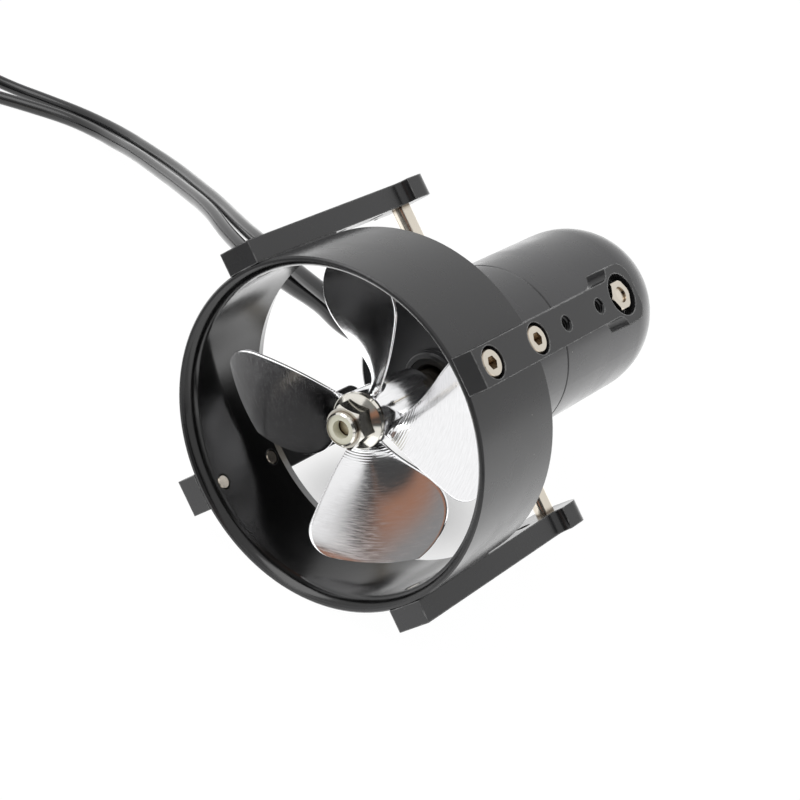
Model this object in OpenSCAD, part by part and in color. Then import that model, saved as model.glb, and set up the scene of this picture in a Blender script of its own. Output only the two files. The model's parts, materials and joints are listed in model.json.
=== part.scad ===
// Ducted underwater thruster: a short ring duct on four arms, carried by studs on a sealed motor.
// The shaft lies level along +Y, with the propeller at the front (-Y) and the rear dome at +Y.
// A station is a distance behind the ring's front rim, measured along the shaft.
// The part stands on the ring's lowest line, and its origin is under the middle of its length.

/* [Duct ring] */
// Outside diameter of the duct ring at its front rim
ring_d = 88; // [86:0.5:92]
// Wall thickness of the duct ring at its front rim
ring_wall = 3; // [2.8:0.1:3.5]
// How far the ring's outside draws in towards its rear rim, measured on the radius
ring_taper = 0.4; // [0.2:0.1:1]
// Length of the duct ring along the shaft
ring_l = 32.2; // [31.5:0.1:35]
// How far the front lip opens, measured on the radius
lip_flare = 2; // [1:0.1:2.1]
// Radius of the front lip's rounding
lip_r = 5; // [3:0.5:8]
// How far the rear mouth opens, measured on the radius
mouth_flare = 1.3; // [0.8:0.1:1.5]
// Length of the rear mouth's chamfer
mouth_l = 3.5; // [2:0.5:4]

/* [Arms] */
// Width of an arm's straight bar
arm_w = 9.5; // [9:0.1:11]
// Thickness of an arm
arm_t = 5.8; // [5.2:0.1:7]
// Length of an arm, from the ring's front rim to the end of its head
arm_l = 73.5; // [73:0.1:75]
// Depth of the flat on the ring that an arm sits on
arm_seat = 0.25; // [0.2:0.05:0.4]
// Width of an arm's rear head
head_w = 15.2; // [15:0.1:17]
// Length of the rear head
head_l = 9.5; // [9:0.1:10.5]
// Radius of the head's rear corners
head_corner = 4.8; // [2:0.1:5]
// Radius of the fillet between an arm's bar and its head
shoulder_r = 2.6; // [1:0.1:2.7]

/* [Arm fasteners] */
// Nominal thread of the ring screws, the studs and the spare holes
thread_d = 4; // [3.5:0.1:4.4]
// Diameter of a ring screw's head
screw_head_d = 7; // [6:0.1:7.4]
// Height of a ring screw's head
screw_head_h = 3.8; // [3:0.1:4.2]
// Width across flats of a ring screw's socket
socket_af = 3; // [2.5:0.1:3.5]
// Depth of a ring screw's socket
socket_depth = 2; // [1:0.1:2.5]
// Diameter of the counterbore round a ring screw's head
counterbore_d = 8; // [7.6:0.1:8.8]
// How far a ring screw's head lies below the arm's face
screw_recess = 0.3; // [0.1:0.1:0.6]
// Station of the first ring screw
screw_first = 6; // [5:0.5:7]
// Distance between the two ring screws of an arm
screw_pitch = 20; // [18:0.1:21]
// Station of the first spare threaded hole
spare_first = 39.2; // [38:0.1:41]
// Distance between the two spare threaded holes of an arm
spare_pitch = 16; // [14:0.5:17]
// Station of the studs that carry the arms
stud_station = 66.5; // [66.2:0.1:66.8]
// Diameter of a stud's polished shank
stud_d = 5; // [4.6:0.1:6]
// Depth of a stud's thread in the motor housing
stud_depth = 6; // [4:0.5:7]
// Width across flats of a stud's nut
nut_af = 7; // [6.5:0.1:7.6]
// Height of a stud's nut
nut_h = 3.2; // [2.4:0.1:3.6]
// Diameter of the counterbore round a stud's nut
nut_pocket_d = 10.8; // [9.5:0.1:11]
// Depth of the counterbore round a stud's nut
nut_pocket_depth = 3.5; // [3:0.1:4]

/* [Motor] */
// Outside diameter of the motor
motor_d = 46.2; // [46:0.1:48]
// Station of the motor's front face
motor_front = 48.2; // [47.5:0.1:49]
// Length of the front housing, from its face to the seam
housing_l = 27.5; // [26:0.5:29]
// Straight length of the rear can, from the seam to the dome
can_l = 39.7; // [39.2:0.1:42]
// Wall thickness of the rear can
can_wall = 2.5; // [2:0.1:3]
// Diameter of the boss round the shaft on the front face
boss_d = 16; // [15:0.5:20]
// Height of the boss round the shaft
boss_h = 2.5; // [1:0.5:4]
// Length of the spigot that the housing fits into the can
spigot_l = 5; // [4:0.5:6]
// Wall thickness of the spigot
spigot_wall = 3.5; // [3:0.1:4]
// Thickness of the O-ring round the spigot
o_ring_t = 1.5; // [1.2:0.1:1.8]

/* [Shaft and bearings] */
// Diameter of the motor shaft
shaft_d = 8; // [7:0.5:8.5]
// Diameter of the shaft's front end, inside the propeller
prop_seat_d = 6; // [5:0.5:6.5]
// Station of the shaft's front end
shaft_front = 9.5; // [9.4:0.1:11]
// Outside diameter of the ball bearings
bearing_d = 22; // [20:0.5:24]
// Width of the ball bearings
bearing_w = 7; // [6:0.5:8]
// Diameter of the bearing balls
ball_d = 4; // [3:0.25:4.5]
// Number of balls in a bearing
ball_count = 7; // [6:1:8]
// Thickness of the housing wall between the seal and the front bearing
bulkhead_t = 3; // [2:0.5:4]
// Outside diameter of the shaft seal
seal_d = 13; // [12:0.5:14]
// Width of the shaft seal
seal_w = 4.5; // [4:0.5:6]
// Thickness of the ring that holds the front bearing
clip_t = 1; // [0.8:0.1:1.5]
// Depth of that ring's groove
clip_depth = 0.8; // [0.5:0.1:1]
// Thickness of the wave washer behind the rear bearing
wave_t = 0.8; // [0.5:0.1:1]
// Thickness of the rear bearing plate's closed wall
plate_wall = 2; // [1.5:0.5:3]
// Room round the shaft where it passes the seal's lip and the rear plate
shaft_room = 1; // [0.5:0.1:1.5]

/* [Windings and magnets] */
// Length of the laminated stator and of the rotor
stack_l = 20; // [16:0.5:20.5]
// Length of a stator tooth, from its tip to the outer ring
tooth_l = 5.95; // [5:0.05:6.2]
// Number of stator teeth
tooth_count = 9; // [6:3:9]
// Width of a stator tooth
tooth_w = 4; // [3:0.1:4.4]
// Thickness of the stator's outer ring
yoke_t = 3; // [2:0.1:3.4]
// Thickness of the wire round a tooth
coil_t = 1.4; // [1:0.1:1.6]
// Air gap between the magnets and the stator
air_gap = 0.6; // [0.4:0.1:1]
// Thickness of the magnets
magnet_t = 2.5; // [1.5:0.1:3]
// Number of magnets
magnet_count = 8; // [4:2:10]

/* [Propeller] */
// Gap between the blade tips and the duct
tip_gap = 3; // [1.5:0.1:6]
// Station of the hub's front face
hub_front = 15.3; // [15:0.1:16]
// Length of the hub
hub_l = 23.4; // [22:0.1:25]
// Diameter of the hub at its front
hub_front_d = 13.9; // [13.5:0.1:15]
// Diameter of the hub at its rear
hub_rear_d = 12.2; // [12:0.1:13.4]
// Number of blades
blade_count = 4; // [3:1:4]
// Angle at which the propeller rests
prop_turn = 50.5; // [0:0.5:90]
// Advance per turn of the blade at the hub
pitch_root = 44; // [36:1:50]
// Advance per turn of the blade at the tip
pitch_tip = 98; // [90:1:115]
// Station of the blades' reference line
blade_station = 26.5; // [25:0.1:28]
// Angle from the reference line to a blade's straight front edge
front_edge = 63.4; // [50:0.1:65]
// How many degrees a blade's front edge turns back for each millimetre outwards
front_sweep = 0.25; // [0:0.05:0.4]
// Angle that a blade's rear edge reaches past the reference line
rear_reach = 3.3; // [0:0.1:6]
// How far the rear edge draws back towards the hub and the tip
rear_bow = 19.8; // [10:0.1:22]
// Radius at which a blade's front edge turns into its tip
tip_round = 7; // [5:0.5:15]
// Thickness of a blade at the hub
blade_root_t = 2.4; // [1.8:0.1:3]
// Thickness of a blade at the tip
blade_tip_t = 1.2; // [0.9:0.1:1.6]
// Thickness of a blade's edges
blade_edge_t = 0.5; // [0.3:0.1:0.8]
// Diameter of the pin that drives the hub
pin_d = 2; // [1.5:0.1:2.4]
// Length of the pin that drives the hub
pin_l = 11; // [10:0.5:11.5]

/* [Propeller nut] */
// Width across flats of the propeller nut
prop_nut_af = 10; // [9:0.1:11]
// Diameter of the nut's flange
flange_d = 14.2; // [13:0.1:15]
// Thickness of the nut's flange rim
flange_t = 1.1; // [0.8:0.1:1.4]
// Length of the nut's hexagon
hex_l = 5.7; // [4.5:0.1:6]
// Diameter of the nut's front collar
collar_d = 8.4; // [8:0.1:9.4]
// Length of the nut's front collar
collar_l = 1.6; // [1:0.1:2]
// Wall thickness of the nut's front collar
collar_wall = 0.5; // [0.4:0.1:0.7]
// Length of the nylon ring in the collar
insert_l = 2.4; // [2:0.1:2.5]
// Bore of the nylon ring, which the shaft's end has not reached
insert_bore = 4.6; // [4:0.1:5.4]
// Thickness of the washer behind the nut
washer_t = 0.5; // [0.3:0.1:0.8]
// Diameter of the washer behind the nut
washer_d = 12; // [11:0.5:13.5]

/* [Leads] */
// Diameter of a lead
lead_d = 4.5; // [4:0.1:4.8]
// Station at which the leads leave the motor
gland_station = 56; // [55.5:0.1:56.5]
// Distance between the two leads where they leave the motor
lead_pitch = 5.2; // [5:0.1:6]
// Thickness of the gland's wall round the leads
gland_wall = 1.7; // [1.2:0.1:2]
// Depth of the gland in the housing
gland_depth = 6; // [4:0.5:7]
// How far the gland stands out of the housing
gland_out = 2.5; // [1:0.5:4]
// Mean diameter of the coiled length
coil_d = 50; // [48:1:54]
// Thickness of a tie round the coils
tie_t = 0.8; // [0.6:0.1:1.2]
// Width of a tie, as an angle round the coils
tie_angle = 8; // [5:1:12]
// Length of the sleeve over a lead's end
sleeve_l = 14; // [10:1:18]
// Diameter of the sleeve over a lead's end
sleeve_d = 5.6; // [5.2:0.1:6]
// Length of the bullet contact
bullet_l = 9; // [7:0.5:12]
// Diameter of the bullet contact
bullet_d = 3.5; // [3:0.1:4]

/* [Hidden] */
$fn = 48;
// Gap between still pieces that slide into each other
fit_gap = 0.05;
// Gap between turning pieces and what carries them
run_gap = 0.06;
// Overlap that lets one cut run clean through another
cut = 1;
// Small chamfer on turned and milled edges
edge = 0.4;

ring_r = ring_d / 2;
ring_rear_r = ring_r - ring_taper;
ring_in = ring_r - ring_wall;
land_in = (ring_in + mouth_flare + ring_rear_r) / 2;
motor_r = motor_d / 2;
can_in = motor_r - can_wall;
seam = motor_front + housing_l;
dome_centre = seam + can_l;
overall_l = dome_centre + motor_r;
axis_z = ring_r;
arm_in = ring_r - arm_seat;
arm_out = arm_in + arm_t;
arm_angles = [45, 135, 225, 315];
screw_stations = [screw_first, screw_first + screw_pitch];
spare_stations = [spare_first, spare_first + spare_pitch];
screw_r = thread_d / 2;
screw_seat = arm_out - screw_recess - screw_head_h;
nut_seat = arm_out - nut_pocket_depth;

shaft_r = shaft_d / 2;
prop_seat_r = prop_seat_d / 2;
bearing_r = bearing_d / 2;
ball_pitch_r = (shaft_r + bearing_r) / 2;
race_t = (bearing_r - shaft_r) / 4;
boss_front = motor_front - boss_h;
seal_front = boss_front + edge;
seal_rear = seal_front + seal_w;
front_bearing = seal_rear + bulkhead_t;
clip_station = front_bearing + bearing_w;
clip_room = 1;
cavity_r = bearing_r + clip_depth + clip_room;
spigot_r = can_in - fit_gap;
spigot_end = seam + spigot_l;
o_groove_depth = o_ring_t + fit_gap;
stack_front = spigot_end + fit_gap;
stack_rear = stack_front + stack_l;
winding_room = 2;
plate_front = stack_rear + coil_t + winding_room;
rear_bearing = plate_front + edge;
plate_rear = rear_bearing + bearing_w + wave_t + plate_wall;
shoulder_w = 1;
front_chamfer = 1;
shaft_rear = rear_bearing + bearing_w;
stator_r = can_in - fit_gap;
yoke_in = stator_r - yoke_t;
bore_r = yoke_in - tooth_l;
magnet_r = bore_r - air_gap;
rotor_r = magnet_r - magnet_t;
tooth_tip_t = 1.2;
tooth_tip_w = tooth_w + 2 * coil_t;
coil_in = bore_r + tooth_tip_t + fit_gap;
slot_room = 1;
coil_out = yoke_in - slot_room;
magnet_space = 3;

hub_rear = hub_front + hub_l;
tip_r = ring_in - tip_gap;
bow_shift = 2.75;
bow_r = (hub_rear_d / 2 + tip_r) / 2 + bow_shift;
sweep_r = tip_r / 2;
blade_root_r = (prop_seat_r + hub_rear_d / 2) / 2;
hub_bore_r = prop_seat_r + fit_gap;
pin_station = hub_rear - pin_d;
washer_front = hub_front - washer_t;
flange_front = washer_front - flange_t;
hex_front = washer_front - hex_l - flange_t;
collar_front = hex_front - collar_l;
nut_bore_r = prop_seat_r + fit_gap;
insert_r = collar_d / 2 - collar_wall;

lead_r = lead_d / 2;
gland_end = motor_r + gland_out;
turn_gap = 0.1;
coil_pitch = lead_d + turn_gap;
coil_half = coil_pitch;
coil_floor = tie_t;
coil_place = [-305, 128];
coil_entry = coil_place[1] + (coil_d + coil_pitch) / 2;
coil_exit = coil_place[1] - (coil_d + coil_pitch) / 2;
lead_sides = 10;

// Routes of the leads: X, station and height above the ground, chosen by hand.
lead_upper_route = [
    [-gland_end, gland_station, axis_z + lead_pitch / 2], [-34, 56.2, 46.6], [-46, 60, 46.4],
    [-60, 67, 44.8], [-77, 78.5, 41], [-95, 92.5, 35.8], [-116, 110.5, 29.3], [-139, 129, 22.3],
    [-163, 147, 15.4], [-184, 160.5, 10], [-201, 170, 6.2], [-215, 175, 4], [-228, 177, 2.8],
    [-242, 176, 2.3], [-258, 171.5, 3.2], [-275, 163.5, 7.5], [-290, 157.5, 11.6],
    [coil_place[0], coil_entry, coil_floor + 2.5 * coil_pitch]
];
lead_lower_route = [
    [-gland_end, gland_station, axis_z - lead_pitch / 2], [-34, 56.6, 41.4], [-46, 61.5, 41.4],
    [-60, 66, 40.3], [-77, 74.5, 37.7], [-95, 86.8, 34.2], [-116, 104, 29.6], [-139, 122, 22.8],
    [-163, 139.5, 15.8], [-184, 153.5, 10.2], [-201, 163.5, 5.6], [-215, 169, 3.2], [-228, 170, 2.3],
    [-242, 166, 2.3], [-258, 160.5, 2.3], [-275, 156.5, 2.5], [-290, 155.2, 3],
    [coil_place[0], coil_entry, coil_floor + 0.5 * coil_pitch]
];
// Routes of the leads' tails from the coil to their sleeves.
tail_upper_route = [
    [coil_place[0], coil_exit, coil_floor + 3.5 * coil_pitch], [-293, 100.7, 16], [-279, 100, 11],
    [-267, 98, 6], [-257, 96, 2.8], [-249, 94, 2.8]
];
tail_lower_route = [
    [coil_place[0], coil_exit, coil_floor + 1.5 * coil_pitch], [-293, 100.7, 7], [-281, 102, 4.5],
    [-269, 104, 2.8], [-259, 106, 2.8]
];

// Sets a shape drawn with its z along the shaft, by station, into the part's frame.
module on_shaft() {
    translate([0, -overall_l / 2, axis_z]) rotate([-90, 0, 0]) children();
}

// Sets a shape drawn with its x pointing outwards at an arm's angle, counted from +X towards +Z.
module at_arm(angle) {
    on_shaft() rotate([0, 0, -angle]) children();
}

// Lays a shape drawn along z onto the outward x direction at a station.
module radial(station) {
    translate([0, 0, station]) rotate([0, 90, 0]) children();
}

// A plain ring along z between two stations.
module ring_band(outer, inner, from, to) {
    translate([0, 0, from]) difference() {
        cylinder(r = outer, h = to - from);
        translate([0, 0, -cut]) cylinder(r = inner, h = to - from + 2 * cut);
    }
}

// A hexagon bar along z, given by its width across flats.
module hexagon(across, h) {
    cylinder(d = across / cos(30), h = h, $fn = 6);
}

// Outline of the ring's wall: radius across, station upwards.
module ring_outline() {
    lip_l = sqrt(lip_r * lip_r - (lip_r - lip_flare) * (lip_r - lip_flare));
    difference() {
        polygon([
            [ring_in, 0], [ring_r - edge, 0], [ring_r, edge], [ring_rear_r, ring_l - edge],
            [ring_rear_r - edge, ring_l], [ring_in + mouth_flare, ring_l], [ring_in, ring_l - mouth_l]
        ]);
        difference() {
            translate([ring_in - cut, -cut]) square([lip_flare + cut, lip_l + cut]);
            translate([ring_in + lip_r, lip_l]) circle(r = lip_r, $fn = 96);
        }
    }
}

module duct_ring() {
    color([0.1, 0.1, 0.11]) difference() {
        union() {
            on_shaft() rotate_extrude($fn = 180) ring_outline();
            for (angle = arm_angles) at_arm(angle)
                translate([land_in, -arm_w / 2, edge]) cube([arm_in - land_in, arm_w, ring_l - 2 * edge]);
        }
        for (angle = arm_angles) at_arm(angle) {
            translate([arm_in, -arm_w / 2, -cut]) cube([arm_seat + cut, arm_w, ring_l + 2 * cut]);
            for (station = screw_stations)
                radial(station) cylinder(r = screw_r + fit_gap, h = ring_d);
        }
    }
}

// Flat outline of an arm: width across, station upwards.
module arm_outline() {
    head_front = arm_l - head_l;
    translate([-arm_w / 2, 0]) square([arm_w, arm_l - head_corner]);
    translate([-head_w / 2, head_front]) square([head_w, head_l - head_corner]);
    translate([-head_w / 2 + head_corner, head_front]) square([head_w - 2 * head_corner, head_l]);
    for (side = [-1, 1]) {
        translate([side * (head_w / 2 - head_corner), arm_l - head_corner]) circle(r = head_corner);
        difference() {
            translate([side * (arm_w + shoulder_r) / 2, head_front - shoulder_r / 2])
                square([shoulder_r, shoulder_r], center = true);
            translate([side * (arm_w / 2 + shoulder_r), head_front - shoulder_r]) circle(r = shoulder_r);
        }
    }
}

module arm(angle) {
    color([0.13, 0.13, 0.14]) at_arm(angle) difference() {
        translate([arm_in, 0, 0]) rotate([90, 0, 90]) linear_extrude(arm_t) arm_outline();
        for (station = screw_stations) radial(station) {
            cylinder(r = screw_r + fit_gap, h = arm_out + cut);
            translate([0, 0, screw_seat]) cylinder(d = counterbore_d, h = arm_t);
        }
        for (station = spare_stations)
            radial(station) cylinder(d = thread_d, h = arm_out + cut);
        radial(stud_station) {
            cylinder(r = screw_r + fit_gap, h = arm_out + cut);
            translate([0, 0, nut_seat]) cylinder(d = nut_pocket_d, h = arm_t);
        }
    }
}

module arm_upper_right() { arm(arm_angles[0]); }

module arm_upper_left() { arm(arm_angles[1]); }

module arm_lower_left() { arm(arm_angles[2]); }

module arm_lower_right() { arm(arm_angles[3]); }

// A socket-head screw along z, with the underside of its head at z = 0.
module socket_screw(shank) {
    difference() {
        union() {
            translate([0, 0, edge - shank]) cylinder(r = screw_r, h = shank - edge + fit_gap);
            translate([0, 0, -shank]) cylinder(r1 = screw_r - edge, r2 = screw_r, h = edge);
            cylinder(d = screw_head_d, h = screw_head_h - edge);
            translate([0, 0, screw_head_h - edge])
                cylinder(d1 = screw_head_d, d2 = screw_head_d - 2 * edge, h = edge);
        }
        translate([0, 0, screw_head_h - socket_depth]) hexagon(socket_af, socket_depth + cut);
    }
}

module ring_screws() {
    color([0.82, 0.8, 0.76]) for (angle = arm_angles, station = screw_stations)
        at_arm(angle) radial(station) translate([0, 0, screw_seat]) socket_screw(screw_seat - ring_in - fit_gap);
}

module arm_studs() {
    shank_start = motor_r - edge;
    color([0.85, 0.84, 0.82]) for (angle = arm_angles) at_arm(angle) radial(stud_station) {
        translate([0, 0, motor_r - stud_depth]) cylinder(r = screw_r, h = stud_depth);
        translate([0, 0, shank_start]) cylinder(d = stud_d, h = arm_in - shank_start);
        translate([0, 0, arm_in - fit_gap]) cylinder(r = screw_r, h = arm_t - 2 * edge);
    }
}

module stud_nuts() {
    color([0.82, 0.8, 0.76]) for (angle = arm_angles) at_arm(angle) radial(stud_station)
        translate([0, 0, nut_seat]) difference() {
            intersection() {
                hexagon(nut_af, nut_h);
                cylinder(r1 = nut_af / 2 + nut_h, r2 = nut_af / 2 + edge / 2, h = nut_h);
            }
            translate([0, 0, -cut]) cylinder(r = screw_r + fit_gap, h = nut_h + 2 * cut);
        }
}

// The pocket or plug where the leads leave, along z, with a wall of the given width round them.
module gland_block(wall, from, to) {
    translate([0, 0, from]) {
        for (side = [-1, 1]) translate([side * lead_pitch / 2, 0, 0]) cylinder(r = lead_r + wall, h = to - from);
        translate([-lead_pitch / 2, -lead_r - wall, 0]) cube([lead_pitch, lead_d + 2 * wall, to - from]);
    }
}

// Lays a shape drawn along z, with its x upright, onto the -X side of the motor where the leads leave.
module at_gland() {
    on_shaft() translate([0, 0, gland_station]) rotate([0, -90, 0]) rotate([0, 0, 90]) children();
}

module front_housing() {
    color([0.1, 0.1, 0.11]) difference() {
        on_shaft() difference() {
            rotate_extrude($fn = 96) polygon([
                [0, boss_front], [boss_d / 2 - edge, boss_front], [boss_d / 2, boss_front + edge],
                [boss_d / 2, motor_front], [motor_r - front_chamfer, motor_front], [motor_r, motor_front + front_chamfer],
                [motor_r, seam - edge], [motor_r - edge, seam], [spigot_r, seam],
                [spigot_r, spigot_end], [0, spigot_end]
            ]);
            translate([0, 0, boss_front - cut]) cylinder(r = shaft_r + 4 * fit_gap, h = housing_l);
            translate([0, 0, boss_front - cut]) cylinder(d = seal_d, h = seal_rear - boss_front + cut);
            translate([0, 0, front_bearing]) cylinder(r = bearing_r, h = housing_l + spigot_l);
            translate([0, 0, clip_station]) cylinder(r = bearing_r + clip_depth, h = clip_t);
            translate([0, 0, clip_station + 2 * clip_t]) cylinder(r = cavity_r, h = housing_l + spigot_l);
            translate([0, 0, seam]) cylinder(r = spigot_r - spigot_wall, h = spigot_l + cut);
            ring_band(spigot_r + cut, spigot_r - o_groove_depth,
                seam + spigot_l / 2 - o_ring_t / 2 - fit_gap, seam + spigot_l / 2 + o_ring_t / 2 + fit_gap);
        }
        for (angle = arm_angles) at_arm(angle) radial(stud_station) {
            translate([0, 0, motor_r - stud_depth - fit_gap]) cylinder(r = screw_r + fit_gap, h = motor_r);
            translate([0, 0, motor_r - edge]) cylinder(r = stud_d / 2 + fit_gap, h = motor_r);
        }
        at_gland() gland_block(gland_wall, motor_r - gland_depth, motor_d);
    }
}

module rear_can() {
    color([0.1, 0.1, 0.11]) on_shaft() difference() {
        union() {
            translate([0, 0, seam]) cylinder(r1 = motor_r - edge, r2 = motor_r, h = edge);
            translate([0, 0, seam + edge]) cylinder(r = motor_r, h = can_l - edge);
            translate([0, 0, dome_centre]) sphere(r = motor_r);
        }
        translate([0, 0, seam - cut]) cylinder(r = can_in, h = plate_rear - seam + cut);
        translate([0, 0, dome_centre]) sphere(r = can_in - shoulder_w);
        translate([0, 0, plate_rear - cut]) cylinder(r = can_in - shoulder_w, h = dome_centre - plate_rear + cut);
        translate([0, 0, seam - motor_d]) cylinder(r = motor_d, h = motor_d);
    }
}

module rear_bearing_plate() {
    color([0.72, 0.73, 0.75]) on_shaft() difference() {
        translate([0, 0, plate_front]) cylinder(r = can_in - fit_gap, h = plate_rear - plate_front);
        translate([0, 0, plate_front - cut]) cylinder(r = bearing_r, h = plate_rear - plate_wall - plate_front + cut);
        translate([0, 0, plate_front - cut]) cylinder(r = shaft_r + shaft_room, h = plate_rear - plate_front + 2 * cut);
    }
}

module housing_o_ring() {
    color([0.05, 0.05, 0.05]) on_shaft() translate([0, 0, seam + spigot_l / 2]) rotate_extrude($fn = 96)
        translate([spigot_r - o_ring_t / 2, 0]) circle(d = o_ring_t, $fn = 24);
}

module shaft_seal() {
    lip_l = seal_w / 3;
    color([0.06, 0.06, 0.06]) on_shaft() rotate_extrude() polygon([
        [shaft_r + run_gap, seal_rear - lip_l], [shaft_r + run_gap, seal_front + lip_l],
        [shaft_r + shaft_room, seal_front], [seal_d / 2 - fit_gap, seal_front], [seal_d / 2 - fit_gap, seal_rear],
        [shaft_r + shaft_room, seal_rear]
    ]);
}

// The outer ring of a ball bearing, from its front face.
module outer_race(station) {
    color([0.8, 0.8, 0.82]) on_shaft() difference() {
        ring_band(bearing_r - fit_gap, bearing_r - race_t, station, station + bearing_w);
        ball_groove(station);
    }
}

// The inner ring of a ball bearing, from its front face.
module inner_race(station) {
    color([0.8, 0.8, 0.82]) on_shaft() difference() {
        ring_band(shaft_r + race_t, shaft_r + fit_gap / 2, station, station + bearing_w);
        ball_groove(station);
    }
}

// The round groove that a bearing's balls run in.
module ball_groove(station) {
    translate([0, 0, station + bearing_w / 2]) rotate_extrude()
        translate([ball_pitch_r, 0]) circle(d = ball_d + 2 * run_gap);
}

module bearing_balls(station) {
    color([0.88, 0.88, 0.9]) on_shaft() for (i = [0 : ball_count - 1])
        rotate([0, 0, i * 360 / ball_count]) translate([ball_pitch_r, 0, station + bearing_w / 2]) sphere(d = ball_d);
}

module front_outer_race() { outer_race(front_bearing); }

module front_inner_race() { inner_race(front_bearing); }

module front_balls() { bearing_balls(front_bearing); }

module rear_outer_race() { outer_race(rear_bearing); }

module rear_inner_race() { inner_race(rear_bearing); }

module rear_balls() { bearing_balls(rear_bearing); }

module bearing_clip() {
    clip_gap = 6;
    color([0.4, 0.4, 0.42]) on_shaft() difference() {
        ring_band(bearing_r + clip_depth - fit_gap, bearing_r - race_t, clip_station, clip_station + clip_t - fit_gap);
        translate([0, -clip_gap / 2, clip_station - cut]) cube([bearing_d, clip_gap, clip_t + 2 * cut]);
    }
}

module wave_washer() {
    color([0.5, 0.5, 0.52]) on_shaft() ring_band(bearing_r - fit_gap, bearing_r - race_t,
        rear_bearing + bearing_w, rear_bearing + bearing_w + wave_t);
}

module stator_core() {
    color([0.45, 0.45, 0.47]) on_shaft() {
        ring_band(stator_r, yoke_in, stack_front, stack_rear);
        for (i = [0 : tooth_count - 1]) rotate([0, 0, i * 360 / tooth_count]) {
            translate([bore_r + fit_gap, -tooth_w / 2, stack_front])
                cube([yoke_in + yoke_t / 2 - bore_r - fit_gap, tooth_w, stack_l]);
            intersection() {
                ring_band(bore_r + tooth_tip_t, bore_r, stack_front, stack_rear);
                translate([0, -tooth_tip_w / 2, stack_front]) cube([2 * bore_r, tooth_tip_w, stack_l]);
            }
        }
    }
}

module stator_windings() {
    outer_w = tooth_w + 2 * coil_t;
    outer_l = stack_l + 2 * coil_t;
    color([0.72, 0.38, 0.16]) on_shaft() for (i = [0 : tooth_count - 1]) rotate([0, 0, i * 360 / tooth_count])
        difference() {
            translate([coil_in, -outer_w / 2, stack_front - coil_t]) cube([coil_out - coil_in, outer_w, outer_l]);
            translate([coil_in - cut, -tooth_w / 2 - fit_gap, stack_front - fit_gap])
                cube([coil_out - coil_in + 2 * cut, tooth_w + 2 * fit_gap, stack_l + 2 * fit_gap]);
        }
}

module rotor_core() {
    color([0.42, 0.42, 0.44]) on_shaft()
        ring_band(rotor_r, shaft_r + fit_gap / 2, stack_front, stack_rear);
}

module rotor_magnets() {
    span = 360 / magnet_count - magnet_space;
    color([0.35, 0.35, 0.37]) on_shaft() for (i = [0 : magnet_count - 1])
        translate([0, 0, stack_front]) rotate([0, 0, i * 360 / magnet_count]) rotate_extrude(angle = span)
            translate([rotor_r + fit_gap, 0]) square([magnet_t - fit_gap, stack_l]);
}

module shaft() {
    color([0.8, 0.8, 0.8]) on_shaft() difference() {
        rotate_extrude() polygon([
            [0, shaft_front], [prop_seat_r - edge, shaft_front], [prop_seat_r, shaft_front + edge],
            [prop_seat_r, hub_rear], [shaft_r, hub_rear], [shaft_r, shaft_rear - edge],
            [shaft_r - edge, shaft_rear], [0, shaft_rear]
        ]);
        drive_pin_bar(pin_d / 2 + fit_gap, pin_l + 2 * cut);
    }
}

// The line of the pin that drives the hub, across the shaft and between two blades.
module drive_pin_bar(r, l) {
    rotate([0, 0, -prop_turn]) radial(pin_station) cylinder(r = r, h = l, center = true);
}

module drive_pin() {
    color([0.75, 0.75, 0.77]) on_shaft() drive_pin_bar(pin_d / 2, pin_l);
}

// Advance per turn of a blade at a radius.
function blade_pitch(r) = pitch_root + (pitch_tip - pitch_root) * (r - blade_root_r) / (tip_r - blade_root_r);

// How far the blade's front edge is rounded back near the tip, at a radius.
function tip_inset(r) =
    let (past = max(0, r - tip_r + tip_round)) tip_round - sqrt(max(0, tip_round * tip_round - past * past));

// Angles of a blade's front and rear edges from its reference line, at a radius.
function front_angle(r) = front_sweep * (r - sweep_r) - front_edge + tip_inset(r) / r * 180 / PI;
function rear_angle(r) =
    let (u = (r - bow_r) / (tip_r - bow_r)) rear_reach - rear_bow * u * u;

// Half the blade's thickness along the shaft, at a share of its length and of its width.
function blade_half(along, across) =
    let (middle = blade_root_t + (blade_tip_t - blade_root_t) * along)
    (blade_edge_t + (middle - blade_edge_t) * 4 * across * (1 - across)) / 2;

// A point of a blade: side -1 is its front face, side 1 its rear face.
function blade_point(along, across, side) =
    let (r = blade_root_r + (tip_r - blade_root_r) * along)
    let (turn = front_angle(r) + (rear_angle(r) - front_angle(r)) * across)
    let (rise = blade_pitch(r) / (2 * PI * r), slant = sqrt(1 + rise * rise))
    [
        r * cos(turn), -r * sin(turn),
        blade_station + blade_pitch(r) * turn / 360 + side * blade_half(along, across) * slant
    ];

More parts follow.
